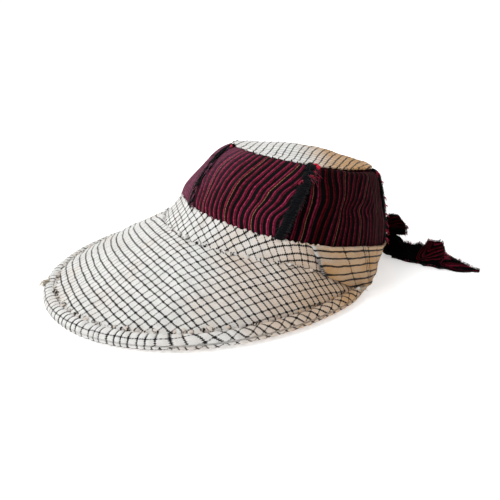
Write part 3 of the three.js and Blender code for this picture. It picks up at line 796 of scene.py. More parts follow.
def painted_floor(name, colours):
    """Matt painted studio floor, lit towards the far wall: an even pale ground that meets the wall unseen."""
    material, tree = new_material(name)
    noise = add_node(tree, "ShaderNodeTexNoise", {"Scale": 3.0, "Detail": 2.0})
    tone = add_node(tree, "ShaderNodeMapRange", {0: noise.outputs["Fac"], 1: 0.3, 2: 0.7, 3: 0.985, 4: 1.0})
    colour = add_node(tree, "ShaderNodeVectorMath", {0: linear(colours.floor)[:3], "Scale": tone.outputs[0]},
                      operation="SCALE")
    place = add_node(tree, "ShaderNodeTexCoord")
    away = add_node(tree, "ShaderNodeVectorMath", {0: place.outputs["Object"]}, operation="LENGTH")
    wash = add_node(tree, "ShaderNodeMapRange", {0: away.outputs["Value"], 1: 0.25, 2: 1.2, 3: 0.45, 4: 0.8})
    surface = add_node(tree, "ShaderNodeBsdfPrincipled", {
        "Base Color": colour.outputs[0], "Roughness": 0.95, "Specular IOR Level": 0.1,
        "Emission Color": (1, 1, 1, 1), "Emission Strength": wash.outputs[0]})
    add_node(tree, "ShaderNodeOutputMaterial", {"Surface": surface.outputs[0]})
    return material


def material_of(context, name):
    """Makes each of the cap's materials once."""
    found = bpy.data.materials.get(name)
    if found:
        return found
    sizes, colours = context.scene.cap_sizes, context.scene.cap_colours
    strong, thin = mm(sizes.check_pitch), mm(sizes.thin_pitch)
    recipes = {
        "checked_cotton_woven": lambda: checked_cotton(name, strong, thin, sizes, colours),
        "checked_cotton_roll": lambda: checked_cotton(name, mm(sizes.tuck_pitch), 6.2, sizes, colours),
        # the back band's cloth is toned down to 0.78 of its brightness: painted shade on the cap's rear
        "checked_cotton_tab": lambda: checked_cotton(name, 5.8, thin, sizes, colours, 1.02, 0.78, 0.2),
        "checked_cotton_dome": lambda: checked_cotton(name, 6.2, 5.4, sizes, colours, 0.98, 1.1),
        "striped_cotton_woven": lambda: striped_cotton(name, sizes, colours),
        # The shaded copies of the striped cloth are darkened as painted shade: the crown's three rear panels, the
        # tie's tail, and most of all its knot and stub
        "striped_cotton_shaded": lambda: striped_cotton(name, sizes, colours, painted_shade=0.47),
        "striped_cotton_tail": lambda: striped_cotton(name, sizes, colours, painted_shade=0.5, gold_share=0.0),
        "striped_cotton_dark": lambda: striped_cotton(name, sizes, colours, painted_shade=0.75, gold_share=0.0),
        "napped_selvedge_black": lambda: napped_selvedge(name, colours),
        "spun_thread_black": lambda: spun_thread(name, colours.thread_low, colours.thread_high),
        "spun_thread_red": lambda: spun_thread(name, colours.tuft, colours.crimson),
        "spun_thread_mauve": lambda: spun_thread(name, colours.mauve, colours.maroon),
        "spun_thread_natural": lambda: spun_thread(name, colours.cream, colours.natural),
    }
    return recipes[name]()


def browning(point):
    """How far age has browned the checked cloth: little at the front, most at the wearer's left and rear."""
    x, y = point[..., 0], point[..., 1]
    return np.clip(0.04 + 0.92 * smooth(y + 0.45 * x, -75, 105) + 0.1 * ripple(5, x / 70, y / 60), 0, 1)


# ---- the pieces ----

class CAP_OT_crown_top(bpy.types.Operator):
    """Makes the low checked dome that closes the crown."""

    bl_idname = "cap.crown_top"
    bl_label = "Crown top"

    def execute(self, context):
        columns, rows = 240, 48
        u, v = grid(columns, rows, closed=True)
        angle = u * 360
        inset = (1.0 + 6.0 * smooth(from_front(angle), 60, 140)) / 60
        v = inset + v ** 1.2 * (0.985 - inset)
        edge = ring_point(CROWN_TOP, angle)
        middle = np.array([0, CROWN_TOP["centre_y"], CROWN_TOP["side_z"]])
        points = mix(edge, middle, v[..., None])
        points[..., 2] += DOME_RISE * np.sin(v * math.pi / 2) ** 1.3
        x, y = points[..., 0], points[..., 1]
        # gathered where it lies on the striped side's turned-over edge, and softly uneven all over
        along = np.radians(angle) * 62
        past = np.maximum(v - inset, 0)
        gather = (tucks(along, 6.2, 11) * 1.3 - 0.5) * np.exp(-past * 20)
        lap = 1.5 * np.exp(-past * 14) - 1.2 * np.exp(-past * 160)
        soft = 0.6 * ripple(12, x / 46, y / 40) * smooth(v, 0.03, 0.3) + 0.22 * ripple(13, x / 17, y / 21)
        points[..., 2] += gather + soft + lap
        row = (y + 0.59 * (x - 20)) / (1 - 0.0033 * (x - 20))
        cloth = (row - 2.5, x * 0.86 - y * 0.51)
        wear_and_light = np.clip(0.02 + 1.0 * smooth(y + 0.25 * x, 2, 52), 0, 1)
        piece = cloth_wall("crown_top_cloth", points, 1.5, cloth, wear_and_light,
                           material_of(context, "checked_cotton_dome"), closed=True)
        self.close_middle(piece, columns, rows)
        finish_piece(piece, "check_cream", "crown_top")
        return {"FINISHED"}

    @staticmethod
    def close_middle(piece, columns, rows):
        """Turns the small rings left in the middle of both faces into caps, with no wall between them."""
        work = bmesh.new()
        work.from_mesh(piece.data)
        work.verts.ensure_lookup_table()
        total = columns * (rows + 1)
        outer = [work.verts[rows * columns + i] for i in range(columns)]
        inner = [work.verts[total + rows * columns + i] for i in range(columns)]
        ring = set(outer) | set(inner)
        between = [f for f in work.faces if all(v in ring for v in f.verts)]
        bmesh.ops.delete(work, geom=between, context="FACES")
        work.faces.new(outer).smooth = True
        work.faces.new(inner[::-1]).smooth = True
        work.to_mesh(piece.data)
        work.free()


class CAP_OT_striped_side(bpy.types.Operator):
    """Makes the five striped panels of the crown side."""

    bl_idname = "cap.striped_side"
    bl_label = "Striped side"

    def execute(self, context):
        for index, name in enumerate(PANELS):
            here = JOINTS[index]
            after = JOINTS[(index + 1) % len(JOINTS)]
            turn = 360 if index + 1 >= len(JOINTS) else 0
            u, v = grid(150, 72)
            level = np.minimum(v / EDGE_CLIMB, 1)
            start = mix(here["foot"], here["top"], level) - 1.5
            end = mix(after["foot"], after["top"], level) + turn + 1.5
            angle = mix(start, end, u)
            span = 80 * math.radians(after["foot"] + turn - here["foot"])
            points = wall_point(angle, v)
            normal = grid_normals(points)
            run = np.radians(angle) * 80
            gather = tucks(run, 5.2, 21 + index) * np.exp(-v * 9)
            hem = -1.1 * np.exp(-v * 40)
            soft = 1.0 * ripple(31 + index, run / 38, v * 1.3) + 0.35 * ripple(41 + index, run / 11, v * 1.1)
            pinch = -(np.exp(-u * span / 4) + np.exp(-(1 - u) * span / 4))
            points += normal * (gather + hem + (soft - 0.3) * np.sin(math.pi * np.minimum(v, 0.95)) ** 0.6
                                + pinch * smooth(v, 0, 0.1))[..., None]
            base = angle - (360 if index == 4 else 0)
            spread = 0.88 if index == 1 else 1.0
            wave = 0.4 * ripple(51 + index, run / 60, v * 1.2)
            cloth = (np.radians(base - stripe_lean(base, v)) * 77 * spread + wave + 2.0, v * 52)
            # painted light: towards the front and the wearer's right the stripes are washed paler towards mauve,
            # where the light falls strongest
            painted_light_wash = 0.62 * smooth(-points[..., 0], -42, 0) * smooth(-points[..., 1], -20, 40)
            # the three rear panels take the shaded copy of the striped cloth: painted shade
            material = "striped_cotton_woven" if index in (0, 4) else "striped_cotton_shaded"
            piece = cloth_wall(name + "_cloth", points, 1.3, cloth, painted_light_wash, material_of(context, material))
            finish_piece(piece, "stripe_cloth", name)
        return {"FINISHED"}


class CAP_OT_joints(bpy.types.Operator):
    """Makes the black selvedge strips over the joints, with their fringe and red tufts."""

    bl_idname = "cap.joints"
    bl_label = "Joints"

    def execute(self, context):
        fringe = mm(context.scene.cap_sizes.fringe_length)
        for index, joint in enumerate(JOINTS):
            u, v = grid(12, 84)
            wobble = 0.1 * ripple(61 + index, v * 3)
            aside = (2 * u - 1 + wobble) * mix(3.2, 3.6, v) * joint.get("share", 1)
            angle, level = self.over(joint, v * 0.975 + 0.02, aside)
            points = wall_point(angle, level)
            normal = grid_normals(points)
            arch = 1.9 - 1.3 * (2 * u - 1) ** 2
            lump = 0.45 * ripple(71 + index, v * 9, u * 1.5)
            points = points + normal * (arch + lump)[..., None]
            piece = cloth_wall(joint["name"] + "_strip", points, 1.3, (u * 9, v * 55), np.zeros_like(u),
                               material_of(context, "napped_selvedge_black"))
            finish_piece(piece, "selvedge_black", joint["name"])
            threads = self.add_threads(context, joint, index, fringe)
        self.add_fold(context)
        return {"FINISHED"}

    @staticmethod
    def over(joint, climb, aside):
        """Angle and climb of a place on a joint, some way aside of its middle."""
        middle = mix(joint["foot"], joint["top"], np.minimum(climb / EDGE_CLIMB, 1))
        return middle + np.degrees(aside / mix(89, 62, climb)), climb

    def place(self, joint, climb, aside, lift):
        angle, climb = self.over(joint, climb, aside)
        a = np.radians(angle)
        outward = np.stack([np.sin(a), -np.cos(a), np.full_like(a, 0.25)], -1)
        sideways = np.stack([np.cos(a), np.sin(a), np.zeros_like(a)], -1)
        return wall_point(angle, climb) + outward * lift, outward, sideways

    def add_threads(self, context, joint, index, fringe):
        rng = np.random.default_rng(80 + index)
        count = 420
        rear = index in (2, 3)
        side = rng.choice([-1, 1], count)
        climb = rng.uniform(0.03, 0.98, count)
        edge = rng.uniform(1.0, 3.3, count) * joint.get("share", 1)
        root, outward, sideways = self.place(joint, climb, side * edge, 1.2)
        black = strands(joint["name"] + "_fringe", root, sideways * side[:, None] * 0.8 + outward * 0.4,
                        np.full(count, fringe * (1.5 if rear else 1.0)), 0.18,
                        material_of(context, "spun_thread_black"), 90 + index)
        finish_piece(black, "selvedge_black")
        # small red bundles where the stripes' ends were caught in the seam
        bundles = rng.permutation([0.97, 0.88, 0.76, 0.66, 0.55, 0.42, 0.3, 0.2, 0.09])[:1 if index == 1 else 8]
        threads = 9 if rear else 6
        climb = np.repeat(bundles, threads) + rng.normal(0, 0.008, len(bundles) * threads)
        sides = np.full(len(bundles), -1) if rear else rng.choice([-1, 1], len(bundles))
        aside = np.repeat(sides * rng.uniform(2.8, 4.2, len(bundles)), threads)
        root, outward, sideways = self.place(joint, climb, aside + rng.normal(0, 0.3, len(climb)), 1.5)
        aim = outward * 0.8 + sideways * np.sign(aside)[:, None] * 0.5
        piece = strands(joint["name"] + "_red_tufts", root, aim,
                        np.full(len(climb), 3.4 if rear else 4.0), 0.3,
                        material_of(context, "spun_thread_mauve" if index == 0 else "spun_thread_red"), 100 + index,
                        droop=0.7)
        finish_piece(piece, "stripe_cloth")
        return black, piece

    def add_fold(self, context):
        """The left joint's strip folded over, with its red end and threads, and the front joint's red end."""
        joint = JOINTS[1]
        spots = np.array([0.99, 0.985, 0.955])
        root, outward, sideways = self.place(joint, spots, np.array([-0.5, 2.6, 0.5]), 2.2)
        below = wall_point(*self.over(joint, spots - 0.1, np.zeros(3)))
        along = wall_point(*self.over(joint, spots, np.zeros(3))) - below
        folds = np.array([[3.4, 2.6, 4.2], [2.2, 2.2, 2.4], [3.5, 2.0, 3.8]])
        piece = puffs("joint_left_fold", root, along, outward, folds,
                      material_of(context, "napped_selvedge_black"), 211, np.zeros(3))
        finish_piece(piece, "selvedge_black")
        root, outward, sideways = self.place(joint, np.array([1.0, 0.975]), np.array([2.0, 4.2]), 3.0)
        piece = puffs("joint_left_red_end", root, sideways, outward, np.array([[3.0, 1.2, 1.5], [1.7, 1.2, 1.6]]),
                      material_of(context, "spun_thread_red"), 212, np.zeros(2))
        finish_piece(piece, "stripe_cloth")
        root, outward, sideways = self.place(JOINTS[0], np.array([0.97]), np.array([2.6]), 1.6)
        piece = puffs("joint_front_red_end", root, sideways + [0, 0, 0.6], outward, np.array([[2.0, 1.0, 1.3]]),
                      material_of(context, "spun_thread_red"), 215, np.zeros(1))
        finish_piece(piece, "stripe_cloth")
        count = 44
        rng = np.random.default_rng(213)
        climb = rng.uniform(0.78, 0.97, count)
        root, outward, sideways = self.place(joint, climb, rng.uniform(-1, 3.2, count), 2.4)
        aim = sideways * rng.uniform(0.1, 1.1, count)[:, None] + outward * 0.4 + [0, 0, -0.45]
        dark = rng.uniform(0, 1, count) < 0.7
        for name, material, chosen in (("dark", "spun_thread_black", dark), ("red", "spun_thread_red", ~dark)):
            piece = strands("joint_left_spray_" + name, root[chosen], aim[chosen], np.full(chosen.sum(), 6.0), 0.22,
                            material_of(context, material), 214, droop=0.2)
            finish_piece(piece, "selvedge_black")


class CAP_OT_bands(bpy.types.Operator):
    """Makes the checked front band and the tan back band that laps over its ends."""

    bl_idname = "cap.bands"
    bl_label = "Bands"

    def execute(self, context):
        self.front(context)
        self.back(context)
        return {"FINISHED"}

    def front(self, context):
        u, v = grid(360, 22)
        angle = mix(-BAND_END, BAND_END, u)
        low, high = rim_point(angle), foot_point(angle)
        tall = np.linalg.norm(high - low, axis=-1)
        climb = mix(-1.2 / tall, 1 + 1.0 / tall, v)
        points = band_point(angle, climb)
        normal = grid_normals(points)
        step = np.linalg.norm(np.diff(low[0], axis=0), axis=1)
        run = np.concatenate([[0], np.cumsum(step)])
        run = run - np.interp(0, angle[0], run)
        grain = np.radians(angle[0])
        middle = len(run) // 2
        strong = np.concatenate([[0], np.cumsum(step * np.cos((grain[1:] + grain[:-1]) / 2))])
        thin = np.concatenate([[0], np.cumsum(step * np.sin((grain[1:] + grain[:-1]) / 2))])
        height = v * (tall + 2.2)
        cloth = (strong - strong[middle] - height * np.sin(grain), thin - thin[middle] + height * np.cos(grain))
        from_low, from_high = height, (tall + 2.2) - height
        lower = (tucks(run, 8.6, 111)[None] * 1.5 - 0.9) * np.exp(-from_low / 2.2)
        upper = (tucks(run, 5.4, 112)[None] * 1.3 + 0.2) * np.exp(-from_high / 1.8)
        soft = 0.35 * ripple(113, run / 26, height / 20) + 0.12 * ripple(114, run / 7, height / 9)
        points = points + normal * (lower + upper + soft)[..., None]
        points[..., 2] += tucks(run, 5.4, 112)[None] * 1.4 * np.exp(-from_high / 1.5)
        piece = cloth_wall("front_band_cloth", points, 1.5, cloth, browning(points),
                           material_of(context, "checked_cotton_woven"))
        finish_piece(piece, "check_cream", "front_band")

    def back(self, context):
        u, v = grid(460, 38)
        start = TAB_START + 1.0 + 5.0 * (1 - v)
        angle = mix(start, 360 - start, u)
        low, high = rim_point(angle), foot_point(angle)
        tall = np.linalg.norm(high - low, axis=-1)
        climb = v * (1 + 1.6 / tall)
        points = band_point(angle, climb)
        normal = grid_normals(points)
        step = np.linalg.norm(np.diff(high[-1], axis=0), axis=1)
        run = np.concatenate([[0], np.cumsum(step)])
        near_end = np.minimum(run, run[-1] - run)[None]
        below = (1 - v) * (tall + 1.6)
        fold = 1.1 * np.exp(-(near_end / 3.4) ** 4)
        hem = 0.5 * np.exp(-(below / 1.4) ** 2) - 0.3 * np.exp(-((below - 2.6) / 0.9) ** 2)
        soft = 0.6 * ripple(121, run / 30, below / 22) + 0.2 * ripple(122, run / 9, below / 8)
        sewn = 0.5 * tucks(below, 4.2, 123) * np.exp(-(near_end / 2.5) ** 2)
        a = np.radians(angle)
        inward = np.stack([-np.sin(a), np.cos(a), np.zeros_like(a)], -1)
        points = points + normal * (1.95 + fold + hem + soft + sewn)[..., None]
        points = points + inward * lean_in(angle, v)[..., None]
        points[..., 2] = np.maximum(points[..., 2], 0.0)
        crosswise = run[None] - 0.32 * below
        thin = np.interp(crosswise, *self.cross_lines(run[-1]))
        cloth = (below + 3.0, thin, run[None] - thin)
        # painted highlight: the band's folded end, a strip below its top edge and the top edge itself are made
        # paler, less browned, where they catch the light
        painted_highlight = 0.75 * np.exp(-(near_end / 2.4) ** 2) + 0.28 * np.exp(-((below - 9) / 3.5) ** 2 - near_end / 30)
        painted_highlight = painted_highlight + 0.3 * np.exp(-below / 4) * np.exp(-near_end / 45)
        wear_and_light = np.clip(0.98 - painted_highlight, 0, 1)
        piece = cloth_wall("back_band_cloth", points, 1.6, cloth, wear_and_light, material_of(context, "checked_cotton_tab"))
        finish_piece(piece, "check_tan", "back_band")

    @staticmethod
    def cross_lines(length):
        """Where the thin lines across the back band fall: one, then three close together, and so on."""
        places, k = [], 0
        at = 24.0
        knots = [(-20.0, -2.5)]
        while at < length + 20:
            for offset in ((0,) if k % 2 == 0 else (0, 2.2, 4.4)):
                places.append(at + offset)
            at += 21.0
            k += 1
        for number, place in enumerate(places):
            knots.append((place - 0.8, number * 5.1 + 4.3))
            knots.append((place + 0.8, number * 5.1 + 5.9))
        return [k[0] for k in knots], [k[1] for k in knots]


class CAP_OT_peak(bpy.types.Operator):
    """Makes the wide arched peak, gathered at its seam and at the roll."""

    bl_idname = "cap.peak"
    bl_label = "Peak"

    def execute(self, context):
        u, v = grid(400, 72)
        points = peak_point(u, v)
        normal = grid_normals(points)
        seam, edge = peak_point(u[0], np.ones_like(u[0])), peak_point(u[0], np.zeros_like(u[0]))
        across = np.linalg.norm(seam - edge, axis=-1)
        run = np.concatenate([[0], np.cumsum(np.linalg.norm(np.diff(points[0], axis=0), axis=1))])
        seam_run = np.concatenate([[0], np.cumsum(np.linalg.norm(np.diff(points[-1], axis=0), axis=1))])
        from_roll, from_seam = v * across, (1 - v) * across
        at_roll = (tucks(run, 7.4, 131)[None] * 1.2 - 0.6) * np.exp(-from_roll / 3.0)
        at_seam = (tucks(seam_run, 8.6, 132)[None] * 1.1 - 0.7) * np.exp(-np.maximum(from_seam - 2, 0) / 3.6)
        x, y = points[..., 0], points[..., 1]
        soft = ripple(133, x / 62, y / 44) + 0.4 * ripple(134, x / 22, y / 19)
        soft = soft + 0.15 * ripple(135, x / 9, y / 8)
        soft = soft * smooth(from_roll, 0, 12) * smooth(from_seam, 0, 12)
        cloth = peak_cloth(points)
        points = points + normal * (at_roll + at_seam + soft)[..., None]
        piece = cloth_wall("peak_cloth", points, 2.4, cloth, browning(points),
                           material_of(context, "checked_cotton_woven"))
        finish_piece(piece, "check_cream", "peak")
        return {"FINISHED"}


class CAP_OT_rolled_edge(bpy.types.Operator):
    """Makes the padded roll round the peak's edge, tucked all the way."""

    bl_idname = "cap.rolled_edge"
    bl_label = "Rolled edge"

    def execute(self, context):
        pitch = mm(context.scene.cap_sizes.tuck_pitch)
        rings, sides = 2100, 24
        middle, outward = roll_path(rings)
        step = np.linalg.norm(np.diff(middle, axis=0), axis=1)
        run = np.concatenate([[0], np.cumsum(step)])
        total = run[-1]
        turn = -np.arange(sides) * 2 * math.pi / sides
        taper = mix(ROLL["end_share"], 1, smooth(np.minimum(run, total - run), 0, 22))
        # gathered straight across at first, then cut on the slant towards the wearer's left rear
        grain = math.radians(40) * smooth(np.linspace(-ROLL["end"], ROLL["end"], rings), 60, 88)
        uneven = run + 0.9 * ripple(141, run / 23)
        stretch = np.gradient(uneven)
        straight = np.cumsum(stretch * np.cos(grain))
        askew = np.cumsum(stretch * np.sin(grain))
        round_it = (turn * ROLL["radius"])[None]
        strong = straight[:, None] + round_it * np.sin(grain)[:, None]
        thin = round_it * np.cos(grain)[:, None] - askew[:, None] + 2.4
        crease = np.abs(np.sin(math.pi * strong / pitch)) ** 0.6
        slant = np.abs(np.sin(math.pi * thin / 6.2)) ** 0.5
        depth = crease * mix(1, slant, 0.6 * (grain / math.radians(40))[:, None])
        depth = depth * (0.85 + 0.15 * ripple(142, run[:, None] / 14, turn[None] / 4))
        seam_side = np.clip(np.cos(turn + math.radians(125)), 0, 1)[None]
        radius = ROLL["radius"] * (0.87 + 0.15 * depth) + 1.3 * (depth - 0.45) * seam_side ** 2
        radius = radius * taper[:, None]
        up = np.array([0, 0, 1.0])
        points = middle[:, None] + outward[:, None] * (radius * np.cos(turn))[..., None]
        points = points + up * (ROLL["radius"] * mix(taper, 1.15, 0.85)[:, None] + radius * np.sin(turn))[..., None]
        points[..., 2] = np.maximum(points[..., 2] - 0.3, 0.0)
        # painted shade: the roll's side against the peak is browned darker, least on the puffs between its creases
        shade = 0.7 * seam_side ** 2 * (1 - 0.7 * depth)
        wear_and_light = np.clip(browning(points) + shade, 0, 1)
        piece = make_mesh("rolled_edge_cloth", points, tube_faces(rings, sides), np.stack([strong, thin], -1), wear_and_light,
                          material_of(context, "checked_cotton_roll"))
        finish_piece(piece, "check_cream", "peak_binding")
        return {"FINISHED"}


class CAP_OT_seams(bpy.types.Operator):
    """Makes the small puffs and loose threads along the seams."""

    bl_idname = "cap.seams"
    bl_label = "Seams"

    def execute(self, context):
        self.at_roll(context)
        self.at_band(context)
        self.ends(context)
        return {"FINISHED"}

    def at_roll(self, context):
        rng = np.random.default_rng(151)
        angle = np.arange(-112, 118, 2.6)
        angle = angle + rng.normal(0, 0.6, len(angle))
        outward, place = peak_edge(angle, ROLL["radius"])
        place = place - outward * rng.uniform(3.4, 5.0, len(angle))[:, None]
        place[:, 2] = rng.uniform(8.6, 10.2, len(angle))
        along = np.stack([-outward[:, 1], outward[:, 0], np.zeros(len(angle))], -1)
        along = along + rng.normal(0, 0.35, along.shape)
        lift = -outward + np.array([0, 0, 1.2])
        sizes = np.stack([rng.uniform(1.2, 2.7, len(angle)), rng.uniform(1.0, 2.0, len(angle)),
                          rng.uniform(1.4, 2.8, len(angle))], -1)
        sizes *= mix(0.85, 1.3, smooth(angle, 40, 80))[:, None]
        # 0.25 more browning than the cloth: painted shade in the seam between the roll and the peak
        piece = puffs("roll_seam_puffs", place, along, lift, sizes, material_of(context, "checked_cotton_woven"),
                      152, np.clip(browning(place) + 0.25, 0, 1))
        finish_piece(piece, "check_cream")

    def at_band(self, context):
        rng = np.random.default_rng(161)
        angle = np.concatenate([np.arange(-84, 84, 5.6), rng.uniform(-84, 84, 10)])
        angle = angle + rng.normal(0, 0.9, len(angle))
        place = rim_point(angle)
        a = np.radians(angle)
        outward = np.stack([np.sin(a), -np.cos(a), np.full_like(a, 0.6)], -1)
        along = np.stack([np.cos(a), np.sin(a), np.zeros_like(a)], -1) + rng.normal(0, 0.3, (len(angle), 3))
        sizes = np.stack([rng.uniform(1.4, 3.0, len(angle)), rng.uniform(0.9, 1.5, len(angle)),
                          rng.uniform(1.0, 2.0, len(angle))], -1)
        piece = puffs("band_seam_puffs", place + outward * 0.4, along, outward, sizes,
                      material_of(context, "checked_cotton_woven"), 162, browning(place) * 0.6)
        finish_piece(piece, "check_cream")

    def ends(self, context):
        rng = np.random.default_rng(171)
        count = 64
        outward, place = peak_edge(np.array([4.0]), 3.4)
        root = place[0] + np.array([0, 0, 9.0]) + rng.normal(0, 1.3, (count, 3))
        aim = outward[0] * 0.9 + np.array([0, 0, 0.35]) + rng.normal(0, 0.5, (count, 3))
        piece = strands("roll_front_tuft", root, aim, np.full(count, 5.2), 0.3,
                        material_of(context, "spun_thread_natural"), 172, droop=0.35)
        finish_piece(piece, "check_cream")
        place = place + np.array([[0, 0.5, 7.6]]) + np.array([[0, 0, 0], [2.5, -1.5, 0.4], [-2.2, 0.8, -0.6]])
        piece = puffs("roll_front_knot", place, np.array([[1, 0.3, 0], [0.4, -1, 0.2], [1, 1, 0.3]]),
                      np.tile([0, -0.5, 1.0], (3, 1)),
                      np.array([[3.0, 1.6, 1.9], [2.4, 1.3, 1.5], [2.2, 1.2, 1.4]]),
                      material_of(context, "checked_cotton_woven"), 175, np.full(3, 0.35))
        finish_piece(piece, "check_cream")
        count = 190
        angle = rng.uniform(-112, 112, count)
        outward, place = peak_edge(angle, ROLL["radius"] + 4)
        place[:, 2] = 9.4
        piece = strands("roll_loose_threads", place, -outward * 0.4 + rng.normal(0, 0.5, (count, 3)) + [0, 0, 0.5],
                        np.full(count, 3.0), 0.16, material_of(context, "spun_thread_natural"), 173, droop=0.3)
        finish_piece(piece, "check_cream")
        middle, outward = roll_path(600)
        place = middle[-12] + np.array([1.0, 0, 8.6])
        beads = np.array([place, place + [-3.4, -3.2, -0.2]])
        piece = puffs("roll_rear_bead", beads, np.tile([-0.5, 1.0, 0.1], (2, 1)),
                      np.tile([0, 0, 1.0], (2, 1)), np.array([[2.0, 1.3, 1.3], [1.6, 1.1, 1.2]]),
                      material_of(context, "checked_cotton_woven"), 176, np.array([0.1, 0.5]))
        finish_piece(piece, "check_tan")
        root = place + rng.normal(0, 0.3, (12, 3))
        piece = strands("roll_rear_thread_end", root, np.tile([0.1, 1.0, 0.05], (12, 1)), np.full(12, 7.0), 0.3,
                        material_of(context, "spun_thread_natural"), 174, droop=0.1, curl=0.1)
        finish_piece(piece, "check_tan")


class CAP_OT_tie(bpy.types.Operator):
    """Makes the knot, the stub and the long tail of the cloth tie, with frayed edges."""

    bl_idname = "cap.tie"
    bl_label = "Tie"

    # Stations along the tail: x and y of its middle, half width, height, lean of the crest
    TAIL = (
        (31, 98.5, 8, 15, 0.1), (37, 105.3, 9.5, 14, 0.2), (42, 111, 11, 14, -0.2), (46, 116, 12, 15, -0.2),
        (49.5, 119, 12, 16.5, -0.5), (52.5, 121.6, 12, 21.5, -0.6), (56.5, 124.8, 11.5, 23, -0.6),
        (61.4, 128.2, 11, 22.5, -0.6), (63.2, 129.6, 10.5, 12, -0.3), (66.5, 132, 9, 8.5, 0),
        (72, 136, 7.5, 6.5, 0.2), (78, 142, 5, 4, 0), (84, 149, 1.2, 1.4, 0),
    )
    # Stations along the stub: y and z of its middle, half width, half height
    LOOP = (
        (87.6, 31, 3, 5), (92, 30.5, 4.5, 8.5), (98, 30, 5, 9.2), (103.5, 28.2, 5, 8.2), (107.8, 24.6, 3.5, 5.5),
        (110.4, 22.6, 1.5, 2.5),
    )

    def execute(self, context):
        # a place in the middle of a black stripe, for the parts where hardly any red shows
        self.black = mm(context.scene.cap_sizes.stripe_pitch) * 0.66
        self.knot(context)
        self.stub(context)
        self.tail(context)
        return {"FINISHED"}

    def frayed(self, context, name, points, length, seed, outward, count, red_share=0.2):
        """Threads out of randomly chosen places of an edge."""
        rng = np.random.default_rng(seed)
        pick = rng.integers(0, len(points), count)
        root = points[pick] + rng.normal(0, 0.25, (count, 3))
        red = rng.uniform(0, 1, count) < red_share
        for suffix, material, chosen in (("black", "spun_thread_black", ~red), ("red", "spun_thread_red", red)):
            piece = strands(name + "_" + suffix, root[chosen], outward[pick][chosen], np.full(chosen.sum(), length),
                            0.24, material_of(context, material), seed + 1, droop=0.35)
            finish_piece(piece, "stripe_cloth")

    def knot(self, context):
        rings, sides = 50, 72
        polar = mix(0.04, 0.96, np.arange(rings) / (rings - 1))[:, None] * math.pi
        turn = np.arange(sides)[None] * 2 * math.pi / sides
        crease = 1 + 0.12 * np.cos(5 * turn + 3 * polar)
        crease = crease + 0.07 * ripple(181, polar * 1.4 + 0 * turn, np.cos(turn) * 2)
        points = np.stack([
            30 + 11.5 * crease * np.sin(polar) * np.cos(turn),
            96.9 + 10 * crease * np.sin(polar) * np.sin(turn),
            np.maximum(10 - 10.4 * np.cos(polar) * np.ones_like(turn), 0.0),
        ], -1)
        cloth = np.stack([self.black + 0.7 * np.sin(2 * turn + polar) + 0 * polar, turn * 9 + 0 * polar], -1)
        piece = make_mesh("tie_knot_cloth", points, tube_faces(rings, sides), cloth.reshape(-1, 2),
                          np.zeros(rings * sides), material_of(context, "striped_cotton_dark"))
        finish_piece(piece, "stripe_cloth", "tie_knot")

    def stub(self, context):
        rings, sides = 70, 60
        stations = spline(self.LOOP, rings)
        turn = np.arange(sides)[None] * 2 * math.pi / sides
        y, z, wide, tall = (stations[:, k, None] for k in range(4))
        fold = 1 + 0.12 * np.cos(4 * turn + y / 5) + 0.1 * ripple(191, y / 12, np.sin(turn) * 1.4)
        points = np.stack([
            30 - wide * fold * np.cos(turn), y + 0.9 * ripple(192, z / 12, np.cos(turn)) + 0 * turn,
            z + tall * fold * np.sin(turn)], -1)
        upper = smooth(np.sin(turn), -0.25, 0.1)
        cloth = np.stack([mix(self.black, 12 * (1 - np.sin(turn)) + 0.25 * (y - 87), upper), y + 0 * turn], -1)
        piece = make_mesh("tie_stub_cloth", points, tube_faces(rings, sides), cloth.reshape(-1, 2),
                          np.zeros(rings * sides), material_of(context, "striped_cotton_dark"))
        finish_piece(piece, "stripe_cloth", "tie_loop")
        top = [12, 13, 14, 15, 16, 17, 18, 44, 45, 46]
        edge = np.concatenate([points[10:, top].reshape(-1, 3), points[-14:].reshape(-1, 3)])
        away = edge - np.array([30, 100, 26])
        away = away / np.linalg.norm(away, axis=1, keepdims=True)
        self.frayed(context, "tie_stub_fray", edge, 2.6, 193, away, 230, 0.1)

    def tail(self, context):
        rings, sides = 150, 60
        stations = spline(self.TAIL, rings)
        along = np.gradient(stations[:, :2], axis=0)
        along /= np.linalg.norm(along, axis=1, keepdims=True)
        outline = [(-1, 0), (-0.4, 0), (0.4, 0), (1, 0), (0.9, 0.45), (0.45, 0.7), (0, 1), (-0.45, 0.65),
                   (-0.9, 0.4)]
        section = spline(outline, sides, closed=True)
        across, up = section[None, :, 0], section[None, :, 1]
        x, y, wide, tall, crest = (stations[:, k, None] for k in range(5))
        lean = crest * np.clip(up, 0, 1) ** 2.2
        place = np.arange(rings)[:, None] / (rings - 1)
        raised = smooth(place, 0.36, 0.46) * (1 - smooth(place, 0.62, 0.7))
        fold = 1 + (0.14 - 0.11 * raised) * ripple(201, place * 6, across * 0.9)
        side = wide * (across + lean) * fold
        points = np.stack([
            x - along[:, 1, None] * side, y + along[:, 0, None] * side,
            np.maximum(tall * up * fold + 0.6 * ripple(202, x / 9, side / 7) * (up > 0.05), 0)], -1)
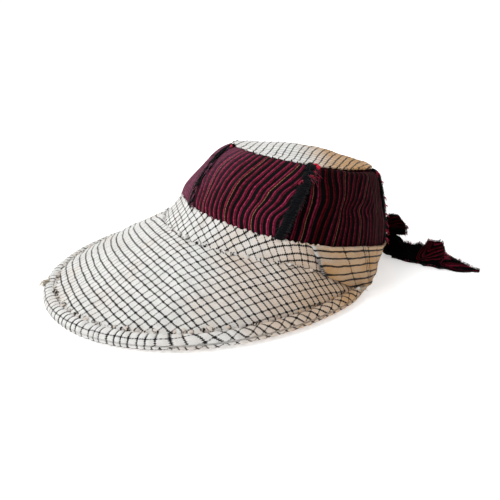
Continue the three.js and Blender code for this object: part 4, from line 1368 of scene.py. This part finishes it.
        # the stripes climb the fold and then follow the tip; its shoulder and its lower edge stay black
        height = points[..., 2]
        run = np.concatenate([[0], np.cumsum(np.linalg.norm(np.diff(stations[:, :2], axis=0), axis=1))])[:, None]
        shown = smooth(run - 0.7 * height, 15, 24) * smooth(up, 0.2, 0.42)
        climb = 1.1 * height - 0.62 * np.clip(run - 27, 0, 19) + 4.0
        cloth = np.stack([mix(self.black, climb, shown), run + 0 * side], -1)
        piece = make_mesh("tie_tail_cloth", points, tube_faces(rings, sides), cloth.reshape(-1, 2),
                          np.zeros(rings * sides), material_of(context, "striped_cotton_tail"))
        finish_piece(piece, "stripe_cloth", "tie_tail")
        top = points[:, np.argmax(section[:, 1])]
        near = points[:, np.argmin(section[:, 0])]
        far = points[:, np.argmax(section[:, 0])]
        beside = np.stack([-along[:, 1], along[:, 0], np.zeros(rings)], -1)
        upward = np.tile([0, 0.3, 1.0], (rings, 1))
        self.frayed(context, "tie_tail_top_fray", top[12:], 3.0, 203, upward[12:], 330, 0.12)
        edge = np.concatenate([near, far])
        away = np.concatenate([-beside + [0, 0, 0.2], beside + [0, 0, 0.2]])
        self.frayed(context, "tie_tail_side_fray", edge, 2.0, 205, away, 300, 0.08)
        drop = points[int(rings * 0.66):int(rings * 0.74), 20:46].reshape(-1, 3)
        aim = np.tile([0.2, 0.9, 0.25], (len(drop), 1))
        self.frayed(context, "tie_tail_fold_fray", drop, 2.6, 207, aim, 150, 0.45)


class CAP_OT_stage(bpy.types.Operator):
    """Makes the floor, the light and the camera."""

    bl_idname = "cap.stage"
    bl_label = "Stage"

    def execute(self, context):
        stage = context.scene.cap_stage
        colours = context.scene.cap_colours
        floor = make_mesh("studio_floor", [
            (3000 * math.cos(k * math.pi / 24), 3000 * math.sin(k * math.pi / 24), -0.05) for k in range(48)],
            [list(range(48))], np.zeros((48, 2)), np.zeros(48), painted_floor("matt_painted_floor", colours), False)
        context.scene.world = self.room(stage)
        target = Vector((0, CROWN_MIDDLE_Y * 0.001, stage.target_height))
        for name, place, size, power in (
                ("key_light", (0.1, -0.85, 1.0), 0.6, stage.key_power),
                ("rim_light", (-0.8, 0.1, 0.9), 0.8, stage.key_power * 0.35)):
            light = bpy.data.lights.new(name, "AREA")
            light.size = size
            light.energy = power
            lamp = bpy.data.objects.new(name, light)
            lamp.location = place
            lamp.rotation_euler = (target - lamp.location).to_track_quat("-Z", "Y").to_euler()
            context.scene.collection.objects.link(lamp)
        data = bpy.data.cameras.new("camera")
        data.sensor_width = 36
        data.lens = stage.lens
        data.shift_x, data.shift_y = stage.shift_x, stage.shift_y
        data.clip_start = 0.01
        camera = bpy.data.objects.new("camera", data)
        a, e = stage.azimuth, stage.elevation
        back = Vector((math.sin(a) * math.cos(e), -math.cos(a) * math.cos(e), math.sin(e)))
        camera.location = target + back * stage.distance
        camera.rotation_mode = "QUATERNION"
        camera.rotation_quaternion = (-back).to_track_quat("-Z", "Y")
        context.scene.collection.objects.link(camera)
        context.scene.camera = camera
        context.scene.view_settings.view_transform = "Standard"
        return {"FINISHED"}

    @staticmethod
    def room(stage):
        """White walls on the cap's far side, dimmer ones and a dimmer ceiling elsewhere."""
        world = bpy.data.worlds.new("white_walled_room")
        world.use_nodes = True
        tree = world.node_tree
        tree.nodes.clear()
        facing = add_node(tree, "ShaderNodeTexCoord")
        parts = add_node(tree, "ShaderNodeSeparateXYZ", {0: facing.outputs["Generated"]})
        far = add_node(tree, "ShaderNodeMapRange", {0: parts.outputs[0], 1: 0.6, 2: -0.3, 3: 0.0, 4: 1.0})
        low = add_node(tree, "ShaderNodeMapRange", {0: parts.outputs[2], 1: 0.8, 2: 0.3, 3: 0.0, 4: 1.0})
        both = add_node(tree, "ShaderNodeMath", {0: far.outputs[0], 1: low.outputs[0]}, operation="MULTIPLY")
        strength = add_node(tree, "ShaderNodeMapRange", {0: both.outputs[0], 1: 0.0, 2: 1.0, 3: stage.sky, 4: 1.02})
        background = add_node(tree, "ShaderNodeBackground", {0: (1, 1, 1, 1), 1: strength.outputs[0]})
        add_node(tree, "ShaderNodeOutputWorld", {0: background.outputs[0]})
        return world


class CAP_PT_pieces(bpy.types.Panel):
    """Lists the cap's sizes, colours and pieces."""

    bl_label = "Checkered cap"
    bl_idname = "CAP_PT_pieces"
    bl_space_type = "VIEW_3D"
    bl_region_type = "UI"
    bl_category = "Cap"

    def draw(self, context):
        for group in (context.scene.cap_sizes, context.scene.cap_colours, context.scene.cap_stage):
            for name in group.__annotations__:
                self.layout.prop(group, name)
        for operator in OPERATORS:
            self.layout.operator(operator.bl_idname)


GROUPS = {"cap_sizes": CapSizes, "cap_colours": CapColours, "cap_stage": CapStage}
OPERATORS = (CAP_OT_stage, CAP_OT_crown_top, CAP_OT_striped_side, CAP_OT_joints, CAP_OT_bands, CAP_OT_peak,
             CAP_OT_rolled_edge, CAP_OT_seams, CAP_OT_tie)


def register():
    for name, group in GROUPS.items():
        bpy.utils.register_class(group)
        setattr(bpy.types.Scene, name, bpy.props.PointerProperty(type=group))
    for kind in (*OPERATORS, CAP_PT_pieces):
        bpy.utils.register_class(kind)


def unregister():
    for kind in (CAP_PT_pieces, *reversed(OPERATORS)):
        bpy.utils.unregister_class(kind)
    for name, group in GROUPS.items():
        delattr(bpy.types.Scene, name)
        bpy.utils.unregister_class(group)


def main():
    register()
    bpy.ops.cap.stage()
    bpy.ops.cap.crown_top()
    bpy.ops.cap.striped_side()
    bpy.ops.cap.joints()
    bpy.ops.cap.bands()
    bpy.ops.cap.peak()
    bpy.ops.cap.rolled_edge()
    bpy.ops.cap.seams()
    bpy.ops.cap.tie()


if __name__ == "__main__":
    main()
